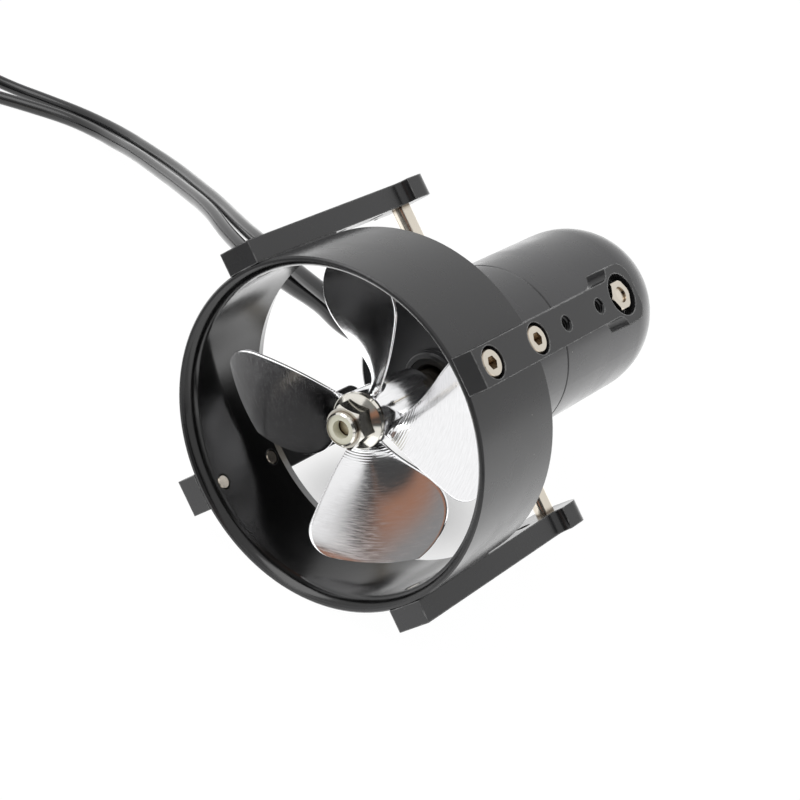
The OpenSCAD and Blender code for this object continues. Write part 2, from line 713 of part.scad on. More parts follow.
// One twisted blade, swept outwards in sections that crowd together towards the tip.
module blade() {
    rows = 14;
    cols = 10;
    per_face = (rows + 1) * (cols + 1);
    points = [for (side = [-1, 1]) for (i = [0 : rows]) for (j = [0 : cols])
        blade_point(sin(90 * i / rows), j / cols, side)];
    function at(k, i, j) = k * per_face + i * (cols + 1) + j;
    function quad(a, b, c, d) = [[a, c, b], [a, d, c]];
    faces = [
        for (i = [0 : rows - 1]) for (j = [0 : cols - 1]) each concat(
            quad(at(0, i, j), at(0, i + 1, j), at(0, i + 1, j + 1), at(0, i, j + 1)),
            quad(at(1, i, j), at(1, i, j + 1), at(1, i + 1, j + 1), at(1, i + 1, j))),
        for (i = [0 : rows - 1]) each concat(
            quad(at(0, i, 0), at(1, i, 0), at(1, i + 1, 0), at(0, i + 1, 0)),
            quad(at(0, i, cols), at(0, i + 1, cols), at(1, i + 1, cols), at(1, i, cols))),
        for (j = [0 : cols - 1]) each concat(
            quad(at(0, 0, j), at(0, 0, j + 1), at(1, 0, j + 1), at(1, 0, j)),
            quad(at(0, rows, j), at(1, rows, j), at(1, rows, j + 1), at(0, rows, j + 1)))
    ];
    polyhedron(points, faces);
}

module propeller() {
    hub_shoulder = hub_front + hub_l / 4;
    color([0.85, 0.85, 0.87]) on_shaft() difference() {
        union() {
            rotate_extrude() polygon([
                [0, hub_front], [hub_front_d / 2 - edge, hub_front], [hub_front_d / 2, hub_front + edge],
                [hub_front_d / 2, hub_shoulder], [hub_rear_d / 2, hub_rear - edge],
                [hub_rear_d / 2 - edge, hub_rear], [0, hub_rear]
            ]);
            for (i = [0 : blade_count - 1]) rotate([0, 0, -prop_turn - i * 360 / blade_count]) blade();
        }
        translate([0, 0, hub_front - cut]) cylinder(r = hub_bore_r, h = hub_l + 2 * cut);
        rotate([0, 0, -prop_turn]) translate([-hub_front_d, -pin_d / 2 - fit_gap, pin_station - pin_d / 2 - fit_gap])
            cube([2 * hub_front_d, pin_d + 2 * fit_gap, hub_l]);
    }
}

module prop_washer() {
    color([0.8, 0.8, 0.82]) on_shaft() ring_band(washer_d / 2, prop_seat_r + fit_gap, washer_front, hub_front);
}

module prop_nut() {
    corner_r = prop_nut_af / 2 / cos(30);
    color([0.84, 0.82, 0.78]) on_shaft() difference() {
        union() {
            translate([0, 0, flange_front]) cylinder(d = flange_d, h = flange_t);
            translate([0, 0, flange_front - flange_t])
                cylinder(d1 = prop_nut_af, d2 = flange_d - edge, h = flange_t);
            intersection() {
                translate([0, 0, hex_front]) hexagon(prop_nut_af, hex_l);
                translate([0, 0, hex_front]) cylinder(r1 = corner_r - 2 * edge, r2 = corner_r + hex_l, h = hex_l);
            }
            translate([0, 0, collar_front]) cylinder(d1 = collar_d - 2 * edge, d2 = collar_d, h = edge);
            translate([0, 0, collar_front + edge]) cylinder(d = collar_d, h = collar_l);
        }
        translate([0, 0, collar_front - cut]) cylinder(r = nut_bore_r, h = hub_front);
        translate([0, 0, collar_front - cut]) cylinder(r = insert_r + fit_gap, h = insert_l + edge + cut);
    }
}

module nut_insert() {
    color([0.93, 0.91, 0.86]) on_shaft()
        ring_band(insert_r, insert_bore / 2, collar_front + edge, collar_front + edge + insert_l);
}

module lead_gland() {
    color([0.06, 0.06, 0.06]) at_gland() gland_block(gland_wall - fit_gap, motor_r - gland_depth, gland_end);
}

function unit(v) = v / norm(v);

// The direction of a route at one of its points.
function heading(route, i) =
    unit(route[min(i + 1, len(route) - 1)] - route[max(i - 1, 0)]);

// A route with a point added in the bend of each span, so that it runs round and not in corners.
function eased(route) = let (last = len(route) - 1) [
    for (i = [0 : last - 1]) each [
        route[i],
        (9 * (route[i] + route[i + 1]) - route[max(i - 1, 0)] - route[min(i + 2, last)]) / 16
    ],
    route[last]
];

// A round tube swept through a route's points, with level sides.
module swept_tube(route, r, sides) {
    last = len(route) - 1;
    points = [for (i = [0 : last]) let (
        along = heading(route, i),
        level = unit(cross([0, 0, 1], along)),
        up = cross(along, level))
        for (k = [0 : sides - 1]) route[i] + r * (cos(360 * k / sides) * level + sin(360 * k / sides) * up)];
    faces = [
        [for (k = [0 : sides - 1]) k],
        [for (k = [0 : sides - 1]) last * sides + sides - 1 - k],
        for (i = [0 : last - 1]) for (k = [0 : sides - 1]) let (n = (k + 1) % sides) each [
            [i * sides + k, (i + 1) * sides + k, (i + 1) * sides + n],
            [i * sides + k, (i + 1) * sides + n, i * sides + n]]
    ];
    polyhedron(points, faces);
}

// Sets a route given by X, station and height into the part's frame.
function placed(route) = [for (p = route) [p[0], p[1] - overall_l / 2, p[2]]];

module lead_upper() {
    color([0.05, 0.05, 0.05]) {
        swept_tube(eased(placed(lead_upper_route)), lead_r, lead_sides);
        swept_tube(placed(tail_upper_route), lead_r, lead_sides);
    }
}

module lead_lower() {
    color([0.05, 0.05, 0.05]) {
        swept_tube(eased(placed(lead_lower_route)), lead_r, lead_sides);
        swept_tube(placed(tail_lower_route), lead_r, lead_sides);
    }
}

// Lays a shape drawn round z onto the coils' place on the ground.
module at_coil() {
    translate([coil_place[0], coil_place[1] - overall_l / 2, coil_floor]) children();
}

// The room that one lead's turns take, two beside each other and two on top.
module lead_coil(level) {
    color([0.05, 0.05, 0.05]) at_coil() rotate_extrude()
        translate([coil_d / 2 - coil_half, level * 2 * coil_half]) square(2 * coil_half);
}

module coil_lower() { lead_coil(0); }

module coil_upper() { lead_coil(1); }

module coil_ties() {
    color([0.08, 0.08, 0.08]) at_coil() for (turn = [0, 180])
        rotate([0, 0, turn - tie_angle / 2]) rotate_extrude(angle = tie_angle) difference() {
            translate([coil_d / 2 - coil_half - tie_t, -tie_t]) square([2 * (coil_half + tie_t), 4 * coil_half + 2 * tie_t]);
            translate([coil_d / 2 - coil_half, 0]) square([2 * coil_half, 4 * coil_half]);
        }
}

// Lays a shape drawn along z onto the end of a tail.
module at_tail(route) {
    points = placed(route);
    last = len(points) - 1;
    aim = unit(points[last] - points[last - 1]);
    translate(points[last]) rotate([0, acos(aim[2]), atan2(aim[1], aim[0])]) children();
}

module lead_sleeves() {
    color([0.1, 0.1, 0.1]) for (route = [tail_upper_route, tail_lower_route]) at_tail(route)
        cylinder(d = sleeve_d, h = sleeve_l);
}

module lead_bullets() {
    color([0.83, 0.66, 0.3]) for (route = [tail_upper_route, tail_lower_route]) at_tail(route)
        translate([0, 0, sleeve_l]) {
            cylinder(d = bullet_d, h = bullet_l - edge);
            translate([0, 0, bullet_l - edge]) cylinder(d1 = bullet_d, d2 = bullet_d - 2 * edge, h = edge);
        }
}

duct_ring();
arm_upper_right();
arm_upper_left();
arm_lower_left();
arm_lower_right();
ring_screws();
arm_studs();
stud_nuts();
front_housing();
rear_can();
rear_bearing_plate();
housing_o_ring();
shaft_seal();
front_outer_race();
front_inner_race();
front_balls();
bearing_clip();
rear_outer_race();
rear_inner_race();
rear_balls();
wave_washer();
stator_core();
stator_windings();
rotor_core();
rotor_magnets();
shaft();
drive_pin();
propeller();
prop_washer();
prop_nut();
nut_insert();
lead_gland();
lead_upper();
lead_lower();
coil_upper();
coil_lower();
coil_ties();
lead_sleeves();
lead_bullets();
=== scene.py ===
"""Dresses a ducted underwater thruster: finishes, propeller, threads, leads and a white stage."""

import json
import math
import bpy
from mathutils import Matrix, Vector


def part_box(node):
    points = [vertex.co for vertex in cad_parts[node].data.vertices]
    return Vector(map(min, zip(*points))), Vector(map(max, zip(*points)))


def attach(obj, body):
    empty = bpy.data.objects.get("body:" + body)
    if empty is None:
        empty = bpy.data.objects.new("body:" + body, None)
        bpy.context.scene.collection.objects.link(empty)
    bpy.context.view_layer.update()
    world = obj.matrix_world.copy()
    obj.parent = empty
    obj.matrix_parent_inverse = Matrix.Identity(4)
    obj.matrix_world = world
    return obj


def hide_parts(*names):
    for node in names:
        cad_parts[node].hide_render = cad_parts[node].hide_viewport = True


bl_info = {
    "name": "Underwater Thruster",
    "version": (1, 0, 0),
    "blender": (4, 5, 0),
    "location": "View3D > Sidebar > Thruster",
    "description": "Dresses a ducted underwater thruster and sets its stage",
    "category": "Object",
}

import bmesh
import bpy
from bpy.props import FloatProperty, FloatVectorProperty, IntProperty, PointerProperty
from mathutils import Euler, Vector

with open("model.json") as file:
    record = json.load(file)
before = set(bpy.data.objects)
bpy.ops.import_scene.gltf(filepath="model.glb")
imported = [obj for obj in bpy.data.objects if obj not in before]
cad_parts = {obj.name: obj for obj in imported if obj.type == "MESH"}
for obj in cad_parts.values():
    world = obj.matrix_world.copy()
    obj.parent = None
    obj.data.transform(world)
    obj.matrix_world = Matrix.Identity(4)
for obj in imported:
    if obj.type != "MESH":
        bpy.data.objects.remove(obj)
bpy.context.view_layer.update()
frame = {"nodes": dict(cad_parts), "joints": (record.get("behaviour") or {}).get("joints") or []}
NODES = frame["nodes"]

# The shaft lies along +Y at this height, and stations are counted back from the duct's front face.
AXIS_Z = frame["joints"][0]["pos_m"][2]
FRONT_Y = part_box("duct_ring")[0].y
MM = 0.001
FULL_TURN = 2 * math.pi
SHAFT_LINE = Vector((0.0, 1.0, 0.0))
ARM_ANGLES = (45, 135, 225, 315)

# Tones of the room in front of the thruster, which its bright metal mirrors
WHITE = (1.0, 1.0, 1.0)
PALE = (0.5, 0.5, 0.5)
GREY = (0.25, 0.25, 0.25)
RED = (0.35, 0.18, 0.12)
DARK = (0.06, 0.06, 0.06)

# The floor's glow, seen and mirrored, and its share in a round patch of painted shadow under the
# thruster and beyond, where the real shadow also shows
SEEN_GLOW = 1.03
MIRRORED_GLOW = 1.6
PAINTED_SHADOW_SHIFT = (0.008, 0.012, 0.0)
PAINTED_SHADOW_FADE = (0.014, 0.036)
PAINTED_SHADOW_SHARES = (0.4, 0.96)

# Strength of the room's light on the thruster, and of the white that is seen behind it
ROOM_LIGHT = 0.55
ROOM_WHITE = 1.0

# Shader groups: a blade's streaks, the radii where its scallops fade, painted shade in hollows, and
# edge wear with painted edge highlights
STREAKS_OUTWARD = 2600.0
STREAKS_AROUND = 9.0
SCALLOP_FADE = (0.0095, 0.0135)
HOLLOW_SHADE_LEVELS = (0.35, 0.85)
EDGE_COSINES = (0.985, 0.86)
EDGE_BREAK_LEVELS = (0.36, 0.62)
EDGE_BREAK_SHARES = (0.25, 1.0)

# Finishes: drift, a blade's streaks and scallops, dust, painted shade in steel's hollows, and the
# ring's bore, darkened with painted shade
DRIFT_LEVELS = (0.3, 0.7)
STREAK_LEVELS = (0.25, 0.75)
STREAK_ROUGHNESS = (0.09, 0.18)
SCALLOP_HEIGHT = 30.0
DUST_TONE = (0.34, 0.33, 0.31)
PAINTED_HOLLOW_SHADE = (0.16, 0.10, 0.05)
BORE_PAINTED_SHADE = 0.2
BORE_POLISH = 0.09

# A blade's mesh, its root fillet's reach in fillet radii, and the hub's straight and rounded shares
BLADE_ROWS = 40
BLADE_COLUMNS = 36
FILLET_REACH = 1.6
STRAIGHT_SHARE = 0.25
ROUND_SHARE = 0.3

# A thread's ridge: steps in a turn, start and half width as shares of the pitch
THREAD_STEPS = 28
THREAD_START = 0.2
THREAD_HALF = 0.42

# The coil: knots in a turn, turns, and the angles, in degrees, where a lead starts and changes turn
COIL_KNOTS = 20
COIL_TURNS = 3.5
COIL_START = 90
COIL_INWARD = (385, 440)
COIL_UPWARD = (690, 745)
COIL_OUTWARD = (995, 1050)

# Routes of the two leads from the gland to the coil: across, station and height, in millimetres.
UPPER_ROUTE = (
    (-25.6, 56, 46.6), (-34, 56.2, 46.6), (-46, 60, 46.4), (-60, 67, 44.8), (-77, 78.5, 41),
    (-95, 92.5, 35.8), (-116, 110.5, 29.3), (-139, 129, 22.3), (-163, 147, 15.4), (-184, 160.5, 10),
    (-201, 170, 6.2), (-215, 175, 4), (-228, 177, 2.8), (-242, 176, 2.3), (-258, 171.5, 3.2),
    (-275, 163.5, 7.5), (-290, 157.5, 11.6),
)
LOWER_ROUTE = (
    (-25.6, 56, 41.4), (-34, 56.6, 41.4), (-46, 61.5, 41.4), (-60, 66, 40.3), (-77, 74.5, 37.7),
    (-95, 86.8, 34.2), (-116, 104, 29.6), (-139, 122, 22.8), (-163, 139.5, 15.8),
    (-184, 153.5, 10.2), (-201, 163.5, 5.6), (-215, 169, 3.2), (-228, 170, 2.3), (-242, 166, 2.3),
    (-258, 160.5, 2.3), (-275, 156.5, 2.5), (-290, 155.2, 3),
)
UPPER_TAIL = ((-293, 100.7, 16), (-279, 100, 11), (-267, 98, 6), (-257, 96, 2.8), (-249, 94, 2.8))
LOWER_TAIL = ((-293, 100.7, 7), (-281, 102, 4.5), (-269, 104, 2.8), (-259, 106, 2.8))


def length_setting(name, description, default):
    """A size in metres that a user may change."""
    return FloatProperty(name=name, description=description, default=default, unit="LENGTH")


def angle_setting(name, description, degrees):
    """An angle that a user may change."""
    return FloatProperty(
        name=name, description=description, default=math.radians(degrees), subtype="ANGLE",
        unit="ROTATION")


def colour_setting(name, description, default):
    """A colour that a user may change."""
    return FloatVectorProperty(
        name=name, description=description, default=default, subtype="COLOR", min=0, max=1)


class LeadSizes(bpy.types.PropertyGroup):
    """Sizes of the two leads and of the coil that stores their far ends."""

    diameter: length_setting("Lead Diameter", "Outside diameter of a lead", 0.0045)
    coil_centre: FloatVectorProperty(
        name="Coil Centre", description="Middle of the coil on the floor", size=2,
        default=(-0.305, FRONT_Y + 0.128), subtype="XYZ", unit="LENGTH")
    coil_outer: length_setting("Outer Turn", "Radius of the outer turns", 0.0273)
    coil_inner: length_setting("Inner Turn", "Radius of the inner turns", 0.0227)
    layer_rise: length_setting("Layer Rise", "Height from one layer to the next", 0.0046)
    upper_floor: length_setting(
        "Upper Coil Height", "Height of the upper lead's first layer", 0.0123)
    lower_floor: length_setting(
        "Lower Coil Height", "Height of the lower lead's first layer", 0.0031)


class PropellerSizes(bpy.types.PropertyGroup):
    """Sizes of the four-blade propeller."""

    tip_radius: length_setting("Tip Radius", "Radius at a blade's tip", 0.038)
    root_radius: length_setting(
        "Root Radius", "Radius inside the hub where a blade starts", 0.00455)
    root_pitch: length_setting("Root Pitch", "Advance in one turn at the root", 0.044)
    tip_pitch: length_setting("Tip Pitch", "Advance in one turn at the tip", 0.098)
    blade_station: length_setting(
        "Blade Station", "Distance of the blades behind the duct's front", 0.0265)
    turn: angle_setting("Turn at Rest", "Angle of the first blade", 50.5)
    front_edge: angle_setting("Front Edge", "Angle from a blade's line to its straight edge", 63.4)
    front_sweep: angle_setting(
        "Front Sweep", "Angle by which the straight edge turns back per metre", 250)
    rear_reach: angle_setting("Rear Edge", "Angle from a blade's line to its bowed edge", 3.3)
    rear_bow: angle_setting(
        "Rear Bow", "Angle by which the bowed edge falls back at its ends", 19.8)
    bow_middle: length_setting(
        "Bow Middle", "Radius where the bowed edge reaches furthest", 0.0248)
    bow_half: length_setting(
        "Bow Half Length", "Distance from the bow's middle to the tip", 0.0132)
    tip_round: length_setting("Tip Rounding", "Radius of the rounded outer corner", 0.007)
    root_thickness: length_setting(
        "Root Thickness", "Thickness in a blade's middle at the root", 0.0024)
    tip_thickness: length_setting(
        "Tip Thickness", "Thickness in a blade's middle at the tip", 0.0012)
    edge_thickness: length_setting("Edge Thickness", "Thickness along a blade's edges", 0.0005)
    camber: length_setting("Camber", "Height of the bow across a blade's faces", 0.0006)
    tip_lean: length_setting("Tip Lean", "Distance by which a blade's tip leans forward", 0.0008)
    lean_start: FloatProperty(
        name="Lean Start", description="Share of a blade's length where its lean starts",
        default=0.35, subtype="FACTOR")
    rim_bevel: length_setting("Rim Bevel", "Width of the rounding along a blade's rims", 0.00009)
    hub_fillet: length_setting(
        "Hub Fillet", "Radius of the fillet between a blade and the hub", 0.0022)
    hub_front: length_setting("Hub Front", "Station of the hub's front face", 0.0153)
    hub_length: length_setting("Hub Length", "Length of the hub", 0.0234)
    hub_front_radius: length_setting("Hub Front Radius", "Radius of the hub's front half", 0.00695)
    hub_rear_radius: length_setting("Hub Rear Radius", "Radius at the hub's rear end", 0.0061)
    hub_edge: length_setting("Hub Edge", "Size of the rounding at the hub's ends", 0.0004)
    bore_radius: length_setting("Hub Bore", "Radius of the hub's bore", 0.00305)
    slot_width: length_setting("Pin Slot Width", "Width of the slot for the drive pin", 0.0021)
    slot_depth: length_setting("Pin Slot Depth", "Depth of the slot in the hub's rear", 0.00305)
    blades: IntProperty(name="Blades", description="Number of blades", default=4)


class FastenerSizes(bpy.types.PropertyGroup):
    """Sizes of the screw threads that show."""

    thread_radius: length_setting("Thread Radius", "Radius of the spare threaded holes", 0.002)
    thread_pitch: length_setting("Thread Pitch", "Distance between two threads", 0.0007)
    thread_depth: length_setting("Thread Depth", "Height of a thread", 0.00036)
    thread_sink: length_setting(
        "Thread Sink", "Depth of a thread's foot in the hole's wall", 0.00004)
    crest_half: length_setting(
        "Crest Half Width", "Half the width of a thread's flat crest", 0.00005)
    arm_inner: length_setting(
        "Arm Inner Face", "Distance of the arms' inner faces from the shaft line", 0.04375)
    arm_outer: length_setting(
        "Arm Outer Face", "Distance of the arms' outer faces from the shaft line", 0.04955)
    first_hole: length_setting("First Hole", "Station of an arm's first spare hole", 0.0392)
    hole_pitch: length_setting("Hole Pitch", "Distance between an arm's spare holes", 0.016)
    holes: IntProperty(name="Holes", description="Number of spare holes in an arm", default=2)


class FinishColours(bpy.types.PropertyGroup):
    """Colours of the finishes that show."""

    anodised: colour_setting("Anodised Black", "Ring, arms and motor", (0.016, 0.016, 0.017))
    polished: colour_setting("Polished Blades", "Propeller", (0.92, 0.92, 0.93))
    stainless: colour_setting("Stainless Steel", "Screws, studs and nuts", (0.64, 0.59, 0.51))
    nylon: colour_setting("Locking Ring", "Nylon ring of the lock nut", (0.93, 0.89, 0.70))
    jacket: colour_setting("Lead Jacket", "Silicone jacket of the leads", (0.011, 0.011, 0.012))


class StageSizes(bpy.types.PropertyGroup):
    """Sizes of the camera and the stage."""

    camera_place: FloatVectorProperty(
        name="Camera Place", description="Where the camera stands", subtype="TRANSLATION",
        unit="LENGTH", default=(0.223647, -0.454216, 0.290407))
    camera_turn: FloatVectorProperty(
        name="Camera Turn", description="How the camera is turned", subtype="EULER",
        unit="ROTATION",
        default=(math.radians(61.837), math.radians(-11.689), math.radians(34.375)))
    camera_lens: FloatProperty(
        name="Lens", description="Focal length on a 36 mm sensor, in millimetres", default=97.3)
    floor_size: length_setting("Floor Size", "Half the side of the floor", 3.0)
    floor_drop: length_setting("Floor Drop", "Gap between the thruster and the floor", 0.0003)
    floor_colour: colour_setting("Floor Colour", "Pale floor", (0.90, 0.90, 0.90))


# Small helpers for meshes and nodes


def new_piece(name, mesh_data, body, material):
    """Links a finished mesh or curve as a piece that rides on a body."""
    obj = bpy.data.objects.new(name, mesh_data)
    bpy.context.collection.objects.link(obj)
    mesh_data.materials.append(material)
    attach(obj, body)
    return obj


def finish_mesh(bm, name, sharp_angle):
    """Turns a bmesh into a smooth mesh whose hard edges stay sharp."""
    bmesh.ops.recalc_face_normals(bm, faces=bm.faces)
    limit = math.radians(sharp_angle)
    for face in bm.faces:
        face.smooth = True
    for edge in bm.edges:
        edge.smooth = edge.calc_face_angle(0.0) < limit
    mesh = bpy.data.meshes.new(name)
    bm.to_mesh(mesh)
    bm.free()
    return mesh


def at(across, station, height):
    """A point given in millimetres from the duct's front face, in the model's frame."""
    return Vector((across * MM, FRONT_Y + station * MM, height * MM))


def turned(bm, profile, steps=96):
    """Spins a closed profile of radius and station about the shaft line."""
    ring = [bm.verts.new((radius, FRONT_Y + station, AXIS_Z)) for radius, station in profile]
    edges = [bm.edges.new((a, b)) for a, b in zip(ring, ring[1:] + ring[:1])]
    bmesh.ops.spin(
        bm, geom=ring + edges, cent=(0.0, 0.0, AXIS_Z), axis=SHAFT_LINE, angle=FULL_TURN,
        steps=steps, use_merge=True)


def link(tree, source, target):
    """Joins two sockets."""
    tree.links.new(source, target)


def new_group(name, inputs, outputs):
    """An empty shader group with float inputs and float outputs."""
    group = bpy.data.node_groups.new(name, "ShaderNodeTree")
    for label, value in inputs:
        socket = group.interface.new_socket(label, in_out="INPUT", socket_type="NodeSocketFloat")
        socket.default_value = value
    for label in outputs:
        group.interface.new_socket(label, in_out="OUTPUT", socket_type="NodeSocketFloat")
    return group, group.nodes.new("NodeGroupInput"), group.nodes.new("NodeGroupOutput")


def place_group(tree, name, **values):
    """Puts a shared group into a material with its own values."""
    node = tree.nodes.new("ShaderNodeGroup")
    node.node_tree = bpy.data.node_groups[name]
    for label, value in values.items():
        node.inputs[label].default_value = value
    return node


def math_node(tree, operation, first, second=0.5):
    """A math node on a socket and a number or a second socket."""
    node = tree.nodes.new("ShaderNodeMath")
    node.operation = operation
    for socket, value in zip(node.inputs, (first, second)):
        if isinstance(value, (int, float)):
            socket.default_value = value
        else:
            link(tree, value, socket)
    return node.outputs[0]


def ranged(tree, value, source, target):
    """Maps a value from one range to another, clamped."""
    node = tree.nodes.new("ShaderNodeMapRange")
    for socket, number in zip(node.inputs[1:5], (*source, *target)):
        socket.default_value = number
    link(tree, value, node.inputs[0])
    return node.outputs[0]


def mixed(tree, factor, first, second):
    """Mixes two colours, each a tuple or a socket, by a mask."""
    node = tree.nodes.new("ShaderNodeMix")
    node.data_type = "RGBA"
    link(tree, factor, node.inputs[0])
    for socket, value in zip(node.inputs[6:8], (first, second)):
        if isinstance(value, bpy.types.NodeSocket):
            link(tree, value, socket)
        else:
            socket.default_value = (*value[:3], 1.0)
    return node.outputs[2]


def object_place(tree, shift=None):
    """Object coordinates, moved by a shift if one is given."""
    place = tree.nodes.new("ShaderNodeTexCoord").outputs["Object"]
    if shift is None:
        return place
    moved = tree.nodes.new("ShaderNodeMapping")
    moved.inputs["Location"].default_value = shift
    link(tree, place, moved.inputs["Vector"])
    return moved.outputs["Vector"]


# Shader groups that several finishes share


def make_blast_group():
    """Fine bead-blasted grain, and a slow drift of tone."""
    tree, inlet, outlet = new_group("Blasted Grain", [("Grain", 5200.0)], ["Grain", "Drift"])
    place = object_place(tree)
    fine = tree.nodes.new("ShaderNodeTexNoise")
    fine.inputs["Detail"].default_value = 3.0
    slow = tree.nodes.new("ShaderNodeTexNoise")
    slow.inputs["Scale"].default_value = 75.0
    slow.inputs["Detail"].default_value = 4.0
    for node in (fine, slow):
        link(tree, place, node.inputs["Vector"])
    link(tree, inlet.outputs["Grain"], fine.inputs["Scale"])
    link(tree, fine.outputs["Fac"], outlet.inputs["Grain"])
    link(tree, slow.outputs["Fac"], outlet.inputs["Drift"])


def make_turned_group():
    """Fine lines that a lathe or mill leaves round the shaft and along it."""
    tree, inlet, outlet = new_group(
        "Turned Lines", [("Lines", 520.0), ("Wander", 1.0), ("Scallop Pitch", 0.0007)],
        ["Rings", "Bands", "Streaks", "Scallops", "Radius"])
    centre = object_place(tree, (0.0, 0.0, -AXIS_Z))
    for label, kind in (("Rings", "RINGS"), ("Bands", "BANDS")):
        wave = tree.nodes.new("ShaderNodeTexWave")
        wave.wave_type = kind
        wave.rings_direction = "Y"
        wave.bands_direction = "Y"
        wave.inputs["Detail"].default_value = 3.0
        wave.inputs["Detail Scale"].default_value = 1.6
        link(tree, centre, wave.inputs["Vector"])
        link(tree, inlet.outputs["Lines"], wave.inputs["Scale"])
        link(tree, inlet.outputs["Wander"], wave.inputs["Distortion"])
        link(tree, wave.outputs["Fac"], outlet.inputs[label])
    split = tree.nodes.new("ShaderNodeSeparateXYZ")
    link(tree, centre, split.inputs[0])
    square = [math_node(tree, "MULTIPLY", split.outputs[i], split.outputs[i]) for i in (0, 2)]
    radius = math_node(tree, "SQRT", math_node(tree, "ADD", square[0], square[1]))
    link(tree, radius, outlet.inputs["Radius"])
    angle = math_node(tree, "ARCTAN2", split.outputs[2], split.outputs[0])
    place = tree.nodes.new("ShaderNodeCombineXYZ")
    link(tree, math_node(tree, "MULTIPLY", radius, STREAKS_OUTWARD), place.inputs[0])
    link(tree, math_node(tree, "MULTIPLY", angle, STREAKS_AROUND), place.inputs[1])
    streak = tree.nodes.new("ShaderNodeTexNoise")
    streak.noise_dimensions = "2D"
    streak.inputs["Scale"].default_value = 1.0
    streak.inputs["Detail"].default_value = 2.0
    link(tree, place.outputs[0], streak.inputs["Vector"])
    link(tree, streak.outputs["Fac"], outlet.inputs["Streaks"])
    turns = math_node(tree, "DIVIDE", radius, inlet.outputs["Scallop Pitch"])
    wave = math_node(tree, "SINE", math_node(tree, "MULTIPLY", turns, FULL_TURN))
    root = ranged(tree, radius, SCALLOP_FADE, (1.0, 0.0))
    link(tree, math_node(tree, "MULTIPLY", wave, root), outlet.inputs["Scallops"])


def make_dust_group():
    """Small pale specks, thinly scattered."""
    tree, inlet, outlet = new_group(
        "Dust Specks", [("Cells", 330.0), ("Size", 0.07), ("Share", 0.45)], ["Specks"])
    cells = tree.nodes.new("ShaderNodeTexVoronoi")
    link(tree, object_place(tree), cells.inputs["Vector"])
    link(tree, inlet.outputs["Cells"], cells.inputs["Scale"])
    split = tree.nodes.new("ShaderNodeSeparateColor")
    link(tree, cells.outputs["Color"], split.inputs[0])
    chosen = math_node(tree, "LESS_THAN", split.outputs[0], inlet.outputs["Share"])
    size = math_node(tree, "MULTIPLY", split.outputs[1], inlet.outputs["Size"])
    near = math_node(tree, "LESS_THAN", cells.outputs["Distance"], size)
    link(tree, math_node(tree, "MULTIPLY", chosen, near), outlet.inputs["Specks"])


def make_hollow_shade_group():
    """A mask for painted shade in sockets, slots and corners that light hardly reaches."""
    tree, inlet, outlet = new_group("Painted Hollow Shade", [("Reach", 0.002)], ["Hollow"])
    shadow = tree.nodes.new("ShaderNodeAmbientOcclusion")
    shadow.samples = 8
    link(tree, inlet.outputs["Reach"], shadow.inputs["Distance"])
    hollow_shade = ranged(tree, shadow.outputs["AO"], HOLLOW_SHADE_LEVELS, (1.0, 0.0))
    link(tree, hollow_shade, outlet.inputs["Hollow"])


def make_edge_group():
    """A rounded normal along hard edges, and a mask there that a fine noise breaks, for edge wear
    and painted edge highlights.
    """
    tree, inlet, outlet = new_group("Worn and Highlit Edges", [("Width", 0.0003)], ["Edges"])
    tree.interface.new_socket("Normal", in_out="OUTPUT", socket_type="NodeSocketVector")
    round_edge = tree.nodes.new("ShaderNodeBevel")
    round_edge.samples = 4
    link(tree, inlet.outputs["Width"], round_edge.inputs["Radius"])
    plain = tree.nodes.new("ShaderNodeNewGeometry")
    turn = tree.nodes.new("ShaderNodeVectorMath")
    turn.operation = "DOT_PRODUCT"
    link(tree, round_edge.outputs["Normal"], turn.inputs[0])
    link(tree, plain.outputs["Normal"], turn.inputs[1])
    edge = ranged(tree, turn.outputs["Value"], EDGE_COSINES, (0.0, 1.0))
    broken = tree.nodes.new("ShaderNodeTexNoise")
    broken.inputs["Scale"].default_value = 420.0
    broken.inputs["Detail"].default_value = 4.0
    link(tree, object_place(tree), broken.inputs["Vector"])
    edge_wear_and_highlight = ranged(tree, broken.outputs["Fac"], EDGE_BREAK_LEVELS, EDGE_BREAK_SHARES)
    link(tree, math_node(tree, "MULTIPLY", edge, edge_wear_and_highlight), outlet.inputs["Edges"])
    link(tree, round_edge.outputs["Normal"], outlet.inputs["Normal"])


# Finishes


def start_finish(name, colour, roughness, metallic=0.0):
    """A new material with its shader's plain values set."""
    material = bpy.data.materials.new(name)
    material.use_nodes = True
    tree = material.node_tree
    shader = tree.nodes["Principled BSDF"]
    shader.inputs["Base Color"].default_value = (*colour, 1.0)
    shader.inputs["Roughness"].default_value = roughness
    shader.inputs["Metallic"].default_value = metallic
    material.diffuse_color = (*colour, 1.0)
    return material, tree, shader


def feed(tree, shader, base, roughness):
    """Joins a colour and a roughness to the shader."""
    link(tree, base, shader.inputs["Base Color"])
    link(tree, roughness, shader.inputs["Roughness"])


def add_relief(tree, shader, height, depth, strength=1.0, edges=None):
    """Feeds a height through a bump node to the shader, over the rounded edges if there are any."""
    bump = tree.nodes.new("ShaderNodeBump")
    bump.inputs["Strength"].default_value = strength
    bump.inputs["Distance"].default_value = depth
    link(tree, height, bump.inputs["Height"])
    if edges:
        link(tree, edges.outputs["Normal"], bump.inputs["Normal"])
    link(tree, bump.outputs["Normal"], shader.inputs["Normal"])


def shade(colour, factor):
    """A colour made lighter or darker."""
    return tuple(min(1.0, channel * factor) for channel in colour)


def toned(tree, mask, colour, darker, lighter):
    """A colour that a mask takes from a darker tone to a lighter one."""
    return mixed(tree, mask, shade(colour, darker), shade(colour, lighter))


def uneven(tree, grain, roughness, smoother, rougher):
    """A roughness that drifts to both sides of its middle."""
    target = (roughness - smoother, roughness + rougher)
    return ranged(tree, grain.outputs["Drift"], DRIFT_LEVELS, target)


